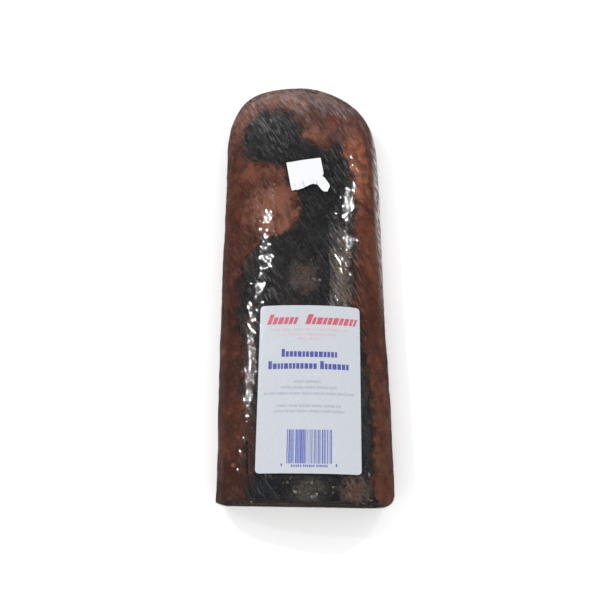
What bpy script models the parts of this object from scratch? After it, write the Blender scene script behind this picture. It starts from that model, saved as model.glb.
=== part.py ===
"""Poppy seed roll in clear film, with its paper label and its price sticker.

Metres, +Z up. The origin is on the resting plane, under the middle of the roll.
The roll lies along Y: the cut end faces -Y and the baked round end faces +Y.
"""
import math

import bmesh
import bpy
from mathutils import Vector, noise
from mathutils.bvhtree import BVHTree

# Whole roll, measured over the film
LENGTH = 0.371
HEIGHT = 0.052
TIP_MARGIN = 0.0003
CUT_HALF_WIDTH = 0.0675
ROUND_HALF_WIDTH_LEFT = 0.0653
ROUND_HALF_WIDTH_RIGHT = 0.0673
WIDEST_HEIGHT = 0.021
BASE_WIDTH_SHARE = 0.80
DOME_POWER = 2.15

# Near the cut the flat base is wider, as the loaf's lower corners are sharper there
CUT_BASE_SHARE_LEFT = 0.94
CUT_BASE_SHARE_RIGHT = 0.88

# Round end: where it starts, and how blunt it is in plan and from the side
ROUND_START_Y = 0.100
PLAN_POWER = 3.0
PLAN_BLUNT_LEFT = 3.4
PLAN_BLUNT_RIGHT = 1.6
TOP_POWER = 2.6
TOP_BLUNT = 2.1
HEEL_POWER = 9.0
HEEL_BLUNT = 3.0

# How the half width changes from the cut end to the round end
TAPER_POWER = 2.5

# Cut end: sliced a little askew, its right-hand corner squeezed round by the film
CUT_SKEW = 0.0020
SKEW_REACH = 0.060
CRUSH_LENGTH = 0.009
CRUSH_DEPTH = 0.006

# Uneven crust
RELIEF_BROAD = 0.0008
RELIEF_BROAD_SCALE = 22.0
RELIEF_FINE = 0.00035
RELIEF_FINE_SCALE = 62.0
RELIEF_END_POWER = 6

# Layers
FILM_THICKNESS = 0.0004
GAP = 0.0003
CRUST_DEPTH = 0.0032
FILLING_THICKNESS = 0.0080
DOUGH_THICKNESS = 0.0028
CORE_SHARE = 0.88
FILLING_TURNS = 1.80
SPIRAL_START = 0.80
SPIRAL_EASE = 5.0
MEDIAL_SHARE = 0.62
FILLING_RECESS = 0.0012
WINDOW_DEPTH = 0.011
FILLING_FAR_SHARE = 0.80
FILLING_ROUND_SHARES = (0.35, 0.62, 0.82, 1.0)

# How far the cutting forms run on past the cut face and above the roll
SHEET_OVERRUN = 0.010
FLOOR_OVERRUN = 0.030
PRISM_TOP = 0.068

# Paper pieces
LABEL_SIZE = (0.0772, 0.1286)
LABEL_CENTRE = (0.0047, -0.1000)
LABEL_TURN = math.radians(-1.5)
LABEL_CORNER = 0.003
STICKER_SIZE = (0.0290, 0.0275)
STICKER_CENTRE = (0.0050, 0.0805)
STICKER_TURN = math.radians(8.5)
STICKER_CORNER = 0.0006
LABEL_CELLS = (9, 14)
STICKER_CELLS = (5, 5)

# The sticker's lower and left edges curl up, each from a share of the half size on
STICKER_LIFT = 0.0016
LOWER_CURL_START = 0.3
LOWER_CURL_SHARE = 0.7
LEFT_CURL_START = 0.4
LEFT_CURL_SHARE = 0.5
PAPER_THICKNESS = 0.0003
PAPER_GAP = 0.00035

# Mesh fineness
DOME_STEPS = 24
CORNER_STEPS = 4
BASE_STEPS = 4
SLIT_HALF_SHARE = 0.0015
SPIRAL_STEPS_PER_TURN = 36
STRAIGHT_STATIONS = 14
CRUSH_SHARES = (0.12, 0.35, 0.65)
ROUND_STEPS = 10
ROUND_SPACING_POWER = 3
SHARP_ANGLE = math.radians(40)

CUT_Y = -LENGTH / 2 + CUT_SKEW
END_Y = LENGTH / 2 - TIP_MARGIN
DOUGH_INSET = FILM_THICKNESS + GAP
DOUGH_CUT_Y = CUT_Y + DOUGH_INSET

# Shares of the way round a section, counted from the widest point on the right
# over the top: dome, left lower corner, flat base, right lower corner
DOME_END = 0.50
BASE_LEFT = 0.62
BASE_RIGHT = 0.88

# Edge of the torn crust on top, seen from above, where the filling lies bare
TEAR_EDGE = (
    (0.048, -0.200), (0.048, -0.170), (0.050, -0.140), (0.049, -0.100),
    (0.047, -0.065), (0.040, -0.035), (0.041, 0.000), (0.042, 0.030),
    (0.044, 0.055), (0.041, 0.078), (0.038, 0.096), (0.034, 0.108),
    (0.024, 0.105), (0.013, 0.110), (0.001, 0.117), (-0.002, 0.131),
    (-0.012, 0.143), (-0.027, 0.147), (-0.040, 0.141), (-0.046, 0.126),
    (-0.045, 0.106), (-0.032, 0.095), (-0.014, 0.091), (-0.006, 0.076),
    (-0.001, 0.062), (0.004, 0.052), (-0.003, 0.038), (-0.016, 0.026),
    (-0.032, 0.021), (-0.044, 0.009), (-0.048, -0.012), (-0.050, -0.042),
    (-0.045, -0.080), (-0.043, -0.115), (-0.041, -0.150), (-0.038, -0.175),
    (-0.037, -0.200),
)
TEAR_RAGGED = 0.0012
TEAR_RAGGED_SCALE = 130.0
TEAR_CUTS = 2


def clear_scene():
    for old in list(bpy.data.objects):
        bpy.data.objects.remove(old, do_unlink=True)


def material(name, colour, roughness, metallic=0.0, alpha=1.0):
    made = bpy.data.materials.new(name)
    made.use_nodes = True
    shader = made.node_tree.nodes["Principled BSDF"]
    shader.inputs["Base Color"].default_value = (*colour, 1.0)
    shader.inputs["Roughness"].default_value = roughness
    shader.inputs["Metallic"].default_value = metallic
    shader.inputs["Alpha"].default_value = alpha
    return made


def add_object(name, bm, finish=None):
    bmesh.ops.recalc_face_normals(bm, faces=bm.faces)
    mesh = bpy.data.meshes.new(name)
    bm.to_mesh(mesh)
    bm.free()
    made = bpy.data.objects.new(name, mesh)
    bpy.context.scene.collection.objects.link(made)
    if finish is not None:
        mesh.materials.append(finish)
    return made


def as_cutter(made):
    made.hide_render = True
    made.display_type = "WIRE"
    return made


def boolean(target, operation, tool):
    step = target.modifiers.new(tool.name, "BOOLEAN")
    step.operation = operation
    step.solver = "EXACT"
    step.object = tool


def split_quad(bm, a, b, c, d):
    """Two triangles, always along the same diagonal, so that nested forms stay apart."""
    bm.faces.new((a, b, c))
    bm.faces.new((a, c, d))


def round_share(y, inset):
    """How far y lies into the round end: 0 at its start, 1 at its tip."""
    reach = END_Y - inset - ROUND_START_Y
    return min(max((y - ROUND_START_Y) / reach, 0.0), 1.0)


def fall(share, power, blunt):
    return max(1.0 - share ** power, 0.0) ** (1.0 / blunt)


def half_width(y, side, inset):
    at_round = ROUND_HALF_WIDTH_RIGHT if side > 0 else ROUND_HALF_WIDTH_LEFT
    blunt = PLAN_BLUNT_RIGHT if side > 0 else PLAN_BLUNT_LEFT
    along = min(max((y - CUT_Y) / (ROUND_START_Y - CUT_Y), 0.0), 1.0)
    width = CUT_HALF_WIDTH + (at_round - CUT_HALF_WIDTH) * along ** TAPER_POWER - inset
    width *= fall(round_share(y, inset), PLAN_POWER, blunt)
    if side > 0:
        into_crush = (CUT_Y + inset + CRUSH_LENGTH - y) / CRUSH_LENGTH
        into_crush = min(max(into_crush, 0.0), 1.0)
        width -= CRUSH_DEPTH * (1.0 - math.sqrt(1.0 - into_crush ** 2))
    return width


def top_height(y, inset):
    rise = HEIGHT - inset - WIDEST_HEIGHT
    return WIDEST_HEIGHT + rise * fall(round_share(y, inset), TOP_POWER, TOP_BLUNT)


def base_height(y, inset):
    drop = WIDEST_HEIGHT - inset
    return WIDEST_HEIGHT - drop * fall(round_share(y, inset), HEEL_POWER, HEEL_BLUNT)


def cut_fade(y):
    """1 at the cut, falling evenly to 0 where the cut end no longer shapes the roll."""
    return min(max((CUT_Y + SKEW_REACH - y) / SKEW_REACH, 0.0), 1.0)


def base_share(y, side):
    """Half width of the flat base as a share of the section's half width."""
    at_cut = CUT_BASE_SHARE_RIGHT if side > 0 else CUT_BASE_SHARE_LEFT
    return BASE_WIDTH_SHARE + (at_cut - BASE_WIDTH_SHARE) * cut_fade(y)


def section_point(around, y, inset):
    """A point of the roll's section at y, `inset` inside the outer form."""
    around %= 1.0
    low = base_height(y, inset)
    if around < DOME_END:
        angle = math.pi * around / DOME_END
        side = 1.0 if math.cos(angle) >= 0.0 else -1.0
        power = 2.0 / DOME_POWER
        x = side * half_width(y, side, inset) * abs(math.cos(angle)) ** power
        rise = top_height(y, inset) - WIDEST_HEIGHT
        return Vector((x, y, WIDEST_HEIGHT + rise * math.sin(angle) ** power))
    if BASE_LEFT <= around <= BASE_RIGHT:
        across = (around - BASE_LEFT) / (BASE_RIGHT - BASE_LEFT)
        left = -base_share(y, -1.0) * half_width(y, -1.0, inset)
        right = base_share(y, 1.0) * half_width(y, 1.0, inset)
        return Vector((left + (right - left) * across, y, low))
    if around < BASE_LEFT:
        side = -1.0
        down = (around - DOME_END) / (BASE_LEFT - DOME_END)
    else:
        side = 1.0
        down = (1.0 - around) / (1.0 - BASE_RIGHT)
    width = half_width(y, side, inset)
    turn = 0.5 * math.pi * down
    flat = base_share(y, side)
    x = width * (flat + (1.0 - flat) * math.cos(turn))
    z = low + (WIDEST_HEIGHT - low) * (1.0 - math.sin(turn))
    return Vector((side * x, y, z))


def askew(point):
    """Slides a point near the cut end along Y, so that the cut face lies askew."""
    slide = CUT_SKEW * cut_fade(point.y) * point.x / CUT_HALF_WIDTH
    return Vector((point.x, point.y - slide, point.z))


def relief(point, y):
    """The crust's unevenness, pushed out from the roll's axis; none on the base."""
    out = Vector((point.x, 0.0, point.z - WIDEST_HEIGHT))
    height_share = min(max(point.z / WIDEST_HEIGHT, 0.0), 1.0)
    end_share = 1.0 - round_share(y, 0.0) ** RELIEF_END_POWER
    broad = RELIEF_BROAD * noise.noise(point * RELIEF_BROAD_SCALE)
    fine = RELIEF_FINE * noise.noise(point * RELIEF_FINE_SCALE)
    return out.normalized() * (broad + fine) * height_share * end_share


def form_point(around, y, inset, rough):
    """As section_point; a rough form has the relief of the outer form at that place."""
    if not rough:
        return askew(section_point(around, y, inset))
    outer_y = ROUND_START_Y + round_share(y, inset) * (END_Y - ROUND_START_Y)
    outer_y = outer_y if y > ROUND_START_Y else y
    outer = section_point(around, outer_y, 0.0)
    return askew(section_point(around, y, inset) + relief(outer, outer_y))


def ring_shares():
    shares = [DOME_END * i / DOME_STEPS for i in range(DOME_STEPS)]
    shares += [DOME_END + (BASE_LEFT - DOME_END) * i / CORNER_STEPS for i in range(CORNER_STEPS)]
    middle = 0.5 * (BASE_LEFT + BASE_RIGHT)
    left_edge = middle - SLIT_HALF_SHARE
    right_edge = middle + SLIT_HALF_SHARE
    shares += [BASE_LEFT + (left_edge - BASE_LEFT) * i / BASE_STEPS for i in range(BASE_STEPS + 1)]
    shares += [right_edge + (BASE_RIGHT - right_edge) * i / BASE_STEPS for i in range(BASE_STEPS)]
    shares += [BASE_RIGHT + (1.0 - BASE_RIGHT) * i / CORNER_STEPS for i in range(CORNER_STEPS)]
    return shares


RING = ring_shares()
SLIT_COLUMN = DOME_STEPS + CORNER_STEPS + BASE_STEPS


def stations(near_y, inset):
    """Places of the sections along Y, closest together at both ends."""
    crush_end = CUT_Y + CRUSH_LENGTH + inset
    places = [near_y]
    places += [CUT_Y + inset + CRUSH_LENGTH * share for share in CRUSH_SHARES]
    step = (ROUND_START_Y - crush_end) / STRAIGHT_STATIONS
    places += [crush_end + step * i for i in range(STRAIGHT_STATIONS + 1)]
    reach = END_Y - inset - ROUND_START_Y
    for i in range(1, ROUND_STEPS):
        share = 1.0 - (1.0 - i / ROUND_STEPS) ** ROUND_SPACING_POWER
        places.append(ROUND_START_Y + reach * share)
    return places


def add_form(bm, near_y, inset, rough=True, skip=None):
    """A closed form of the roll, as a grid of vertices with a tip; returns the grid."""
    places = stations(near_y, inset)
    grid = [[bm.verts.new(form_point(a, y, inset, rough)) for a in RING] for y in places]
    count = len(RING)
    for i in range(len(grid) - 1):
        for k in range(count):
            if skip is not None and skip(i, k):
                continue
            j = (k + 1) % count
            split_quad(bm, grid[i][k], grid[i][j], grid[i + 1][j], grid[i + 1][k])
    bm.faces.new(list(reversed(grid[0])))
    middle = sum((v.co for v in grid[-1]), Vector()) / count
    tip = bm.verts.new((middle.x, END_Y - inset, middle.z))
    for k in range(count):
        bm.faces.new((grid[-1][k], grid[-1][(k + 1) % count], tip))
    return grid


def form_object(name, near_y, inset, rough=True, finish=None):
    bm = bmesh.new()
    add_form(bm, near_y, inset, rough)
    return add_object(name, bm, finish)


def spiral_depth(turn):
    """Depth of the filling's outer face below the dough's surface, by turns wound in."""
    whole = math.floor(turn)
    ease = (turn - whole) ** SPIRAL_EASE
    return CRUST_DEPTH + (FILLING_THICKNESS + DOUGH_THICKNESS) * (whole + ease)


def spiral_point(turn, y, depth, deeper):
    """A point `depth` below the dough's surface, scaled with the section, then `deeper`."""
    around = SPIRAL_START + turn
    rim = section_point(around, y, DOUGH_INSET)
    high = top_height(y, DOUGH_INSET)
    low = base_height(y, DOUGH_INSET)
    axis = Vector((MEDIAL_SHARE * rim.x, y, 0.5 * (high + low)))
    inward = axis - rim
    scaled = min(depth * (high - low) / HEIGHT, CORE_SHARE * inward.length)
    return askew(rim + inward.normalized() * (scaled + deeper))


def filling_sheet(name, near_y, grow, finish=None):
    """The rolled sheet of filling, swept along the roll and shrinking in the round end."""
    steps = int(FILLING_TURNS * SPIRAL_STEPS_PER_TURN)
    extra_turn = 2.0 * grow / (2.0 * CUT_HALF_WIDTH + 2.0 * HEIGHT)
    turns = [FILLING_TURNS * i / steps for i in range(steps + 1)]
    if grow > 0.0:
        turns = [-extra_turn] + turns + [FILLING_TURNS + extra_turn]
        steps += 2
    crush_end = DOUGH_CUT_Y + CRUSH_LENGTH
    places = [DOUGH_CUT_Y, 0.5 * (DOUGH_CUT_Y + crush_end), crush_end]
    places += [CUT_Y + SKEW_REACH, ROUND_START_Y]
    reach = FILLING_FAR_SHARE * (END_Y - DOUGH_INSET - ROUND_START_Y)
    places += [ROUND_START_Y + reach * share for share in FILLING_ROUND_SHARES]
    slides = [0.0] * len(places)
    if grow > 0.0:
        places = [near_y] + places + [places[-1]]
        slides = [0.0] + slides + [grow]
    bm = bmesh.new()
    rings = []
    for y, slide in zip(places, slides):
        outer = []
        inner = []
        for turn in turns:
            wound = max(turn, 0.0)
            top = spiral_depth(wound)
            shift = Vector((0.0, slide, 0.0))
            outer.append(spiral_point(turn, y, top, -grow) + shift)
            inner.append(spiral_point(turn, y, top + FILLING_THICKNESS, grow) + shift)
        rings.append([bm.verts.new(p) for p in outer + inner[::-1]])
    count = len(rings[0])
    for near, far in zip(rings, rings[1:]):
        for k in range(count):
            j = (k + 1) % count
            split_quad(bm, near[k], near[j], far[j], far[k])
    for ring in (rings[0], rings[-1]):
        for k in range(steps):
            bm.faces.new((ring[k], ring[k + 1], ring[count - 2 - k], ring[count - 1 - k]))
    return add_object(name, bm, finish)


def smooth_loop(points, cuts):
    """A closed loop through the points, rounded by a Catmull-Rom curve."""
    loop = []
    count = len(points)
    for i in range(count):
        a, b, c, d = (Vector((*points[(i + n) % count], 0.0)) for n in (-1, 0, 1, 2))
        for k in range(cuts):
            t = k / cuts
            bend = 2 * a - 5 * b + 4 * c - d
            twist = 3 * b - a - 3 * c + d
            loop.append(0.5 * (2 * b + (c - a) * t + bend * t * t + twist * t ** 3))
    return loop


def tear_loop(grow):
    """Edge of the tear seen from above, ragged, and grown sideways by `grow`."""
    loop = smooth_loop(TEAR_EDGE, TEAR_CUTS)
    ragged = []
    for i, point in enumerate(loop):
        along = (loop[(i + 1) % len(loop)] - loop[i - 1]).normalized()
        out = Vector((along.y, -along.x, 0.0))
        wobble = TEAR_RAGGED * noise.noise(point * TEAR_RAGGED_SCALE)
        ragged.append(point + out * (wobble + grow))
    return ragged


def tear_prism(name, grow):
    bm = bmesh.new()
    loop = tear_loop(grow)
    low = [bm.verts.new((p.x, p.y, WIDEST_HEIGHT)) for p in loop]
    high = [bm.verts.new((p.x, p.y, PRISM_TOP)) for p in loop]
    bm.faces.new(low)
    bm.faces.new(high)
    for k in range(len(loop)):
        j = (k + 1) % len(loop)
        bm.faces.new((low[k], low[j], high[j], high[k]))
    return as_cutter(add_object(name, bm))


def build_filling(finish):
    """The wound sheet of poppy filling, with what wells up in the tear of the crust."""
    filling = filling_sheet("poppy_filling", DOUGH_CUT_Y, 0.0, finish)
    well = tear_prism("well_guide", 0.0)
    surface = as_cutter(form_object("well_surface", DOUGH_CUT_Y, DOUGH_INSET + FILLING_RECESS))
    floor = as_cutter(form_object("well_floor", CUT_Y - FLOOR_OVERRUN, WINDOW_DEPTH, False))
    boolean(well, "INTERSECT", surface)
    boolean(well, "DIFFERENCE", floor)
    boolean(filling, "UNION", well)
    return filling


def build_dough(finish):
    """The baked dough: crust and rolled sheet, with room for the filling."""
    dough = form_object("roll_dough", DOUGH_CUT_Y, DOUGH_INSET, True, finish)
    sheet_cutter = as_cutter(filling_sheet("sheet_cutter", CUT_Y - SHEET_OVERRUN, GAP))
    tear_cutter = tear_prism("tear_cutter", GAP)
    floor_depth = WINDOW_DEPTH + GAP
    tear_floor = as_cutter(form_object("tear_floor", CUT_Y - FLOOR_OVERRUN, floor_depth, False))
    boolean(tear_cutter, "DIFFERENCE", tear_floor)
    boolean(dough, "DIFFERENCE", sheet_cutter)
    boolean(dough, "DIFFERENCE", tear_cutter)
    return dough


def build_film(finish):
    """Clear film drawn tight round the roll; its lap on the underside stays a slit."""
    first_row = 1 + len(CRUSH_SHARES)
    last_row = first_row + STRAIGHT_STATIONS

    def in_slit(i, k):
        return k == SLIT_COLUMN and first_row <= i < last_row

    bm = bmesh.new()
    outer = add_form(bm, CUT_Y, 0.0, True, in_slit)
    inner = add_form(bm, CUT_Y + FILM_THICKNESS, FILM_THICKNESS, True, in_slit)
    left = SLIT_COLUMN
    right = SLIT_COLUMN + 1
    for i in range(first_row, last_row):
        for k in (left, right):
            bm.faces.new((outer[i][k], outer[i + 1][k], inner[i + 1][k], inner[i][k]))
    for i in (first_row, last_row):
        bm.faces.new((outer[i][left], outer[i][right], inner[i][right], inner[i][left]))
    return add_object("film_wrap", bm, finish)


def paper_piece(name, size, centre, turn, corner, cells, ground, lift, finish):
    """A thin sheet with rounded corners that lies on the mesh below it."""
    half_x = 0.5 * size[0]
    half_y = 0.5 * size[1]

    def lines(half, count):
        inner = half - corner
        middle = [-inner + 2.0 * inner * i / count for i in range(count + 1)]
        return [-half] + middle + [half]

    xs = lines(half_x, cells[0])
    ys = lines(half_y, cells[1])
    bm = bmesh.new()
    faces = []
    for height in (PAPER_GAP, PAPER_GAP + PAPER_THICKNESS):
        grid = []
        for y in ys:
            row = []
            for x in xs:
                px, py = x, y
                if abs(x) == half_x and abs(y) == half_y:
                    pull = corner * (1.0 - math.sqrt(0.5))
                    px -= math.copysign(pull, x)
                    py -= math.copysign(pull, y)
                wx = centre[0] + px * math.cos(turn) - py * math.sin(turn)
                wy = centre[1] + px * math.sin(turn) + py * math.cos(turn)
                hit = ground.ray_cast(Vector((wx, wy, 1.0)), Vector((0.0, 0.0, -1.0)))[0]
                z = hit.z + height + lift(px / half_x, py / half_y)
                row.append(bm.verts.new((wx, wy, z)))
            grid.append(row)
        faces.append(grid)
    under, over = faces
    rows = len(ys)
    columns = len(xs)
    for grid in (under, over):
        for i in range(rows - 1):
            for k in range(columns - 1):
                bm.faces.new((grid[i][k], grid[i][k + 1], grid[i + 1][k + 1], grid[i + 1][k]))
    edge = [(0, k) for k in range(columns)]
    edge += [(i, columns - 1) for i in range(1, rows)]
    edge += [(rows - 1, k) for k in range(columns - 2, -1, -1)]
    edge += [(i, 0) for i in range(rows - 2, 0, -1)]
    for (i, k), (m, n) in zip(edge, edge[1:] + edge[:1]):
        bm.faces.new((under[i][k], under[m][n], over[m][n], over[i][k]))
    return add_object(name, bm, finish)


def mesh_tree(made):
    return BVHTree.FromPolygons(
        [v.co for v in made.data.vertices],
        [tuple(p.vertices) for p in made.data.polygons],
    )


def flat_down(across, along):
    return 0.0


def curled_edge(across, along):
    """The sticker's lower edge and left side stand a little off the film."""
    lower = max(-along - LOWER_CURL_START, 0.0) / (1.0 - LOWER_CURL_START)
    left = max(-across - LEFT_CURL_START, 0.0) / (1.0 - LEFT_CURL_START)
    return STICKER_LIFT * (LOWER_CURL_SHARE * lower ** 2 + LEFT_CURL_SHARE * left ** 2)


clear_scene()
crust_finish = material("baked_crust", (0.105, 0.038, 0.024), 0.55)
filling_finish = material("poppy_paste", (0.020, 0.019, 0.021), 0.60)
film_finish = material("clear_film", (0.90, 0.90, 0.92), 0.12, alpha=0.25)
label_finish = material("label_paper", (0.64, 0.68, 0.73), 0.45)
sticker_finish = material("sticker_paper", (0.90, 0.91, 0.95), 0.40)

build_dough(crust_finish)
build_filling(filling_finish)
film = build_film(film_finish)
film_top = mesh_tree(film)
paper_piece("label", LABEL_SIZE, LABEL_CENTRE, LABEL_TURN, LABEL_CORNER,
            LABEL_CELLS, film_top, flat_down, label_finish)
paper_piece("price_sticker", STICKER_SIZE, STICKER_CENTRE, STICKER_TURN, STICKER_CORNER,
            STICKER_CELLS, film_top, curled_edge, sticker_finish)
for shown in bpy.data.objects:
    if not shown.hide_render:
        shown.data.shade_smooth()
        shown.data.set_sharp_from_angle(angle=SHARP_ANGLE)
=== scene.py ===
"""Poppy seed roll in clear film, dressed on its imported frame."""

import math
import random
from contextlib import contextmanager

import bmesh
import bpy
import numpy as np
from mathutils import Matrix, Vector, noise
from mathutils.bvhtree import BVHTree


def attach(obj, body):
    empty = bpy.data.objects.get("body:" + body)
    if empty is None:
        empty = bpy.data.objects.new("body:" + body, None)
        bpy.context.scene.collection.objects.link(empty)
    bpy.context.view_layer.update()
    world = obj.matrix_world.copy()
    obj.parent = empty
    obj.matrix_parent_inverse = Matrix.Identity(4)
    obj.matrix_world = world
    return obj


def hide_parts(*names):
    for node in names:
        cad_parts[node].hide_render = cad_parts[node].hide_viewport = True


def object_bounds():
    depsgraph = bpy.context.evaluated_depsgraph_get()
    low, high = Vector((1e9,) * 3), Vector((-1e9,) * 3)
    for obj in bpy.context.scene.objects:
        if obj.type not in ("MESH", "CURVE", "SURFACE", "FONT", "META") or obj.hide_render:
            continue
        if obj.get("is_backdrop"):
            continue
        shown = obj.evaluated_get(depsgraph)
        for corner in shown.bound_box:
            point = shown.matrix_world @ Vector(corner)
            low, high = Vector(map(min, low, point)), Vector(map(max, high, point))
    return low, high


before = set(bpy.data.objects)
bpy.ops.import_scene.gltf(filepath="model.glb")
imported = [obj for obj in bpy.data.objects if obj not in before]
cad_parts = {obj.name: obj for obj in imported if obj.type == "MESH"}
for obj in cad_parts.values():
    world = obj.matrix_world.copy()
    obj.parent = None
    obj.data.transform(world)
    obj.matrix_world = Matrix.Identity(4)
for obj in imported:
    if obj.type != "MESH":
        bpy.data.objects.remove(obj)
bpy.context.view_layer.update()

# The baked dough: one sheet of yeast dough rolled up with its filling and baked on a
# flat tray. It is a low loaf, blunt at one end and sliced at the other; the crust on
# top has torn along its middle, where the filling lies bare.
MM_PER_M = 1000.0
LENGTH = 0.371
HEIGHT = 0.052
CUT_SKEW = 0.0020
SKEW_REACH = 0.060
CUT_Y = -LENGTH / 2 + CUT_SKEW
END_Y = LENGTH / 2 - 0.0003
CUT_HALF_WIDTH = 0.0675
ROUND_HALF_WIDTH_LEFT = 0.0653
ROUND_HALF_WIDTH_RIGHT = 0.0673
WIDENING_POWER = 2.5
ROUND_START_Y = 0.100
WIDEST_HEIGHT = 0.021
TOP_START = WIDEST_HEIGHT + 0.012
BASE_SHARE = 0.80
CUT_BASE_SHARE_LEFT = 0.94
CUT_BASE_SHARE_RIGHT = 0.88
DOME_POWER = 2.15
CRUSH_LENGTH = 0.009
CRUSH_DEPTH = 0.006

# Powers by which the sizes of the section fall towards the round end's tip
LEFT_FALL, RIGHT_FALL = (3.0, 3.4), (3.0, 1.6)
TOP_FALL, BASE_FALL = (2.6, 2.1), (9.0, 3.0)

# Shares of the way round a section, and of a grid's columns, at which its stretches meet
DOME_END, BASE_LEFT, BASE_RIGHT = 0.50, 0.62, 0.88
SECTION_STOPS = (0.0, DOME_END, BASE_LEFT, BASE_RIGHT, 1.0)
COLUMN_STOPS = (0.0, 0.62, 0.70, 0.92, 1.0)

# Shares of a grid's rows before and on the round end, and how they crowd at its tip
BODY_ROWS, TIP_ROWS = 0.82, 0.18
TIP_CROWDING = 2.6
LAST_ROW = 0.9999

CUT_INSET = 0.0007
DOUGH_INSET = 0.0008
BARE_DROP = 0.0045

# Edge of the tear, seen from above, and its raggedness as layers of waves
TEAR_EDGE = (
    (0.048, -0.200), (0.048, -0.170), (0.050, -0.140), (0.049, -0.100),
    (0.047, -0.065), (0.040, -0.035), (0.041, 0.000), (0.042, 0.030),
    (0.044, 0.055), (0.041, 0.078), (0.038, 0.096), (0.034, 0.108),
    (0.024, 0.105), (0.013, 0.110), (0.001, 0.117), (-0.002, 0.131),
    (-0.012, 0.143), (-0.027, 0.147), (-0.040, 0.141), (-0.046, 0.126),
    (-0.045, 0.106), (-0.032, 0.095), (-0.014, 0.091), (-0.006, 0.076),
    (-0.001, 0.062), (0.004, 0.052), (-0.003, 0.038), (-0.016, 0.026),
    (-0.032, 0.021), (-0.044, 0.009), (-0.048, -0.012), (-0.050, -0.042),
    (-0.045, -0.080), (-0.043, -0.115), (-0.041, -0.150), (-0.038, -0.175),
    (-0.037, -0.200),
)
TEAR_WAVES = (
    (0.0016, 0.009, 0.009, 11), (0.0009, 0.0035, 0.0035, 12), (0.0004, 0.0014, 0.0014, 13),
)


def fall(share, power, blunt):
    """1 where the round end starts, falling to 0 at its tip."""
    return np.maximum(1.0 - share ** power, 0.0) ** (1.0 / blunt)


def section_sizes(y, inset):
    """Half widths left and right, top and base height of the roll's section at y."""
    share = np.clip((y - ROUND_START_Y) / (END_Y - inset - ROUND_START_Y), 0.0, 1.0)
    along = np.clip((y - CUT_Y) / (ROUND_START_Y - CUT_Y), 0.0, 1.0) ** WIDENING_POWER
    crush = np.clip((CUT_Y + inset + CRUSH_LENGTH - y) / CRUSH_LENGTH, 0.0, 1.0)
    left = CUT_HALF_WIDTH + (ROUND_HALF_WIDTH_LEFT - CUT_HALF_WIDTH) * along - inset
    right = CUT_HALF_WIDTH + (ROUND_HALF_WIDTH_RIGHT - CUT_HALF_WIDTH) * along - inset
    left = left * fall(share, *LEFT_FALL)
    right = right * fall(share, *RIGHT_FALL)
    right = right - CRUSH_DEPTH * (1.0 - np.sqrt(1.0 - crush ** 2))
    top = WIDEST_HEIGHT + (HEIGHT - inset - WIDEST_HEIGHT) * fall(share, *TOP_FALL)
    base = WIDEST_HEIGHT - (WIDEST_HEIGHT - inset) * fall(share, *BASE_FALL)
    return left, right, top, base


def cut_fade(y):
    """1 at the cut, falling evenly to 0 where the cut end no longer shapes the roll."""
    return np.clip((CUT_Y + SKEW_REACH - y) / SKEW_REACH, 0.0, 1.0)


def askew(points):
    """Slides the points near the cut end along Y, so that the cut face lies askew."""
    points[:, 1] -= CUT_SKEW * cut_fade(points[:, 1]) * points[:, 0] / CUT_HALF_WIDTH
    return points


def section_point(around, y, inset):
    """Points of the roll's section, `inset` inside its outer form, as an N by 3 array."""
    around = np.mod(around, 1.0)
    left, right, top, base = section_sizes(y, inset)
    angle = np.pi * np.minimum(around / DOME_END, 1.0)
    lean = np.cos(angle)
    side = np.where(lean >= 0.0, right, -left)
    dome_x = side * np.abs(lean) ** (2.0 / DOME_POWER)
    dome_z = WIDEST_HEIGHT + (top - WIDEST_HEIGHT) * np.abs(np.sin(angle)) ** (2.0 / DOME_POWER)
    flat_left = BASE_SHARE + (CUT_BASE_SHARE_LEFT - BASE_SHARE) * cut_fade(y)
    flat_right = BASE_SHARE + (CUT_BASE_SHARE_RIGHT - BASE_SHARE) * cut_fade(y)
    across = np.clip((around - BASE_LEFT) / (BASE_RIGHT - BASE_LEFT), 0.0, 1.0)
    base_x = -flat_left * left + (flat_right * right + flat_left * left) * across
    left_down = np.clip((around - DOME_END) / (BASE_LEFT - DOME_END), 0.0, 1.0)
    right_down = np.clip((1.0 - around) / (1.0 - BASE_RIGHT), 0.0, 1.0)
    on_left = around < BASE_LEFT
    down = 0.5 * np.pi * np.where(on_left, left_down, right_down)
    width = np.where(on_left, -left, right)
    flat = np.where(on_left, flat_left, flat_right)
    corner_x = width * (flat + (1.0 - flat) * np.cos(down))
    corner_z = base + (WIDEST_HEIGHT - base) * (1.0 - np.sin(down))
    on_dome = around < DOME_END
    on_base = (around >= BASE_LEFT) & (around <= BASE_RIGHT)
    x = np.where(on_dome, dome_x, np.where(on_base, base_x, corner_x))
    z = np.where(on_dome, dome_z, np.where(on_base, base, corner_z))
    return np.stack((x, y, z), axis=1)


# The loaf's unevenness: the height of its bumps, and how many go to a metre
BUMPS = ((0.0008, 22.0), (0.00035, 62.0))
TIP_SMOOTHING = 6
WAVE_CELLS = 256
WAVE_GAIN = 1.6


def crust_relief(points):
    """How far the loaf's uneven outer form stands out at each of its points."""
    rise = sum(
        np.array([height * noise.noise(Vector(p) * scale) for p in points])
        for height, scale in BUMPS
    )
    rise *= np.clip(points[:, 2] / WIDEST_HEIGHT, 0.0, 1.0)
    share = np.clip((points[:, 1] - ROUND_START_Y) / (END_Y - ROUND_START_Y), 0.0, 1.0)
    return rise * (1.0 - share ** TIP_SMOOTHING)


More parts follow.
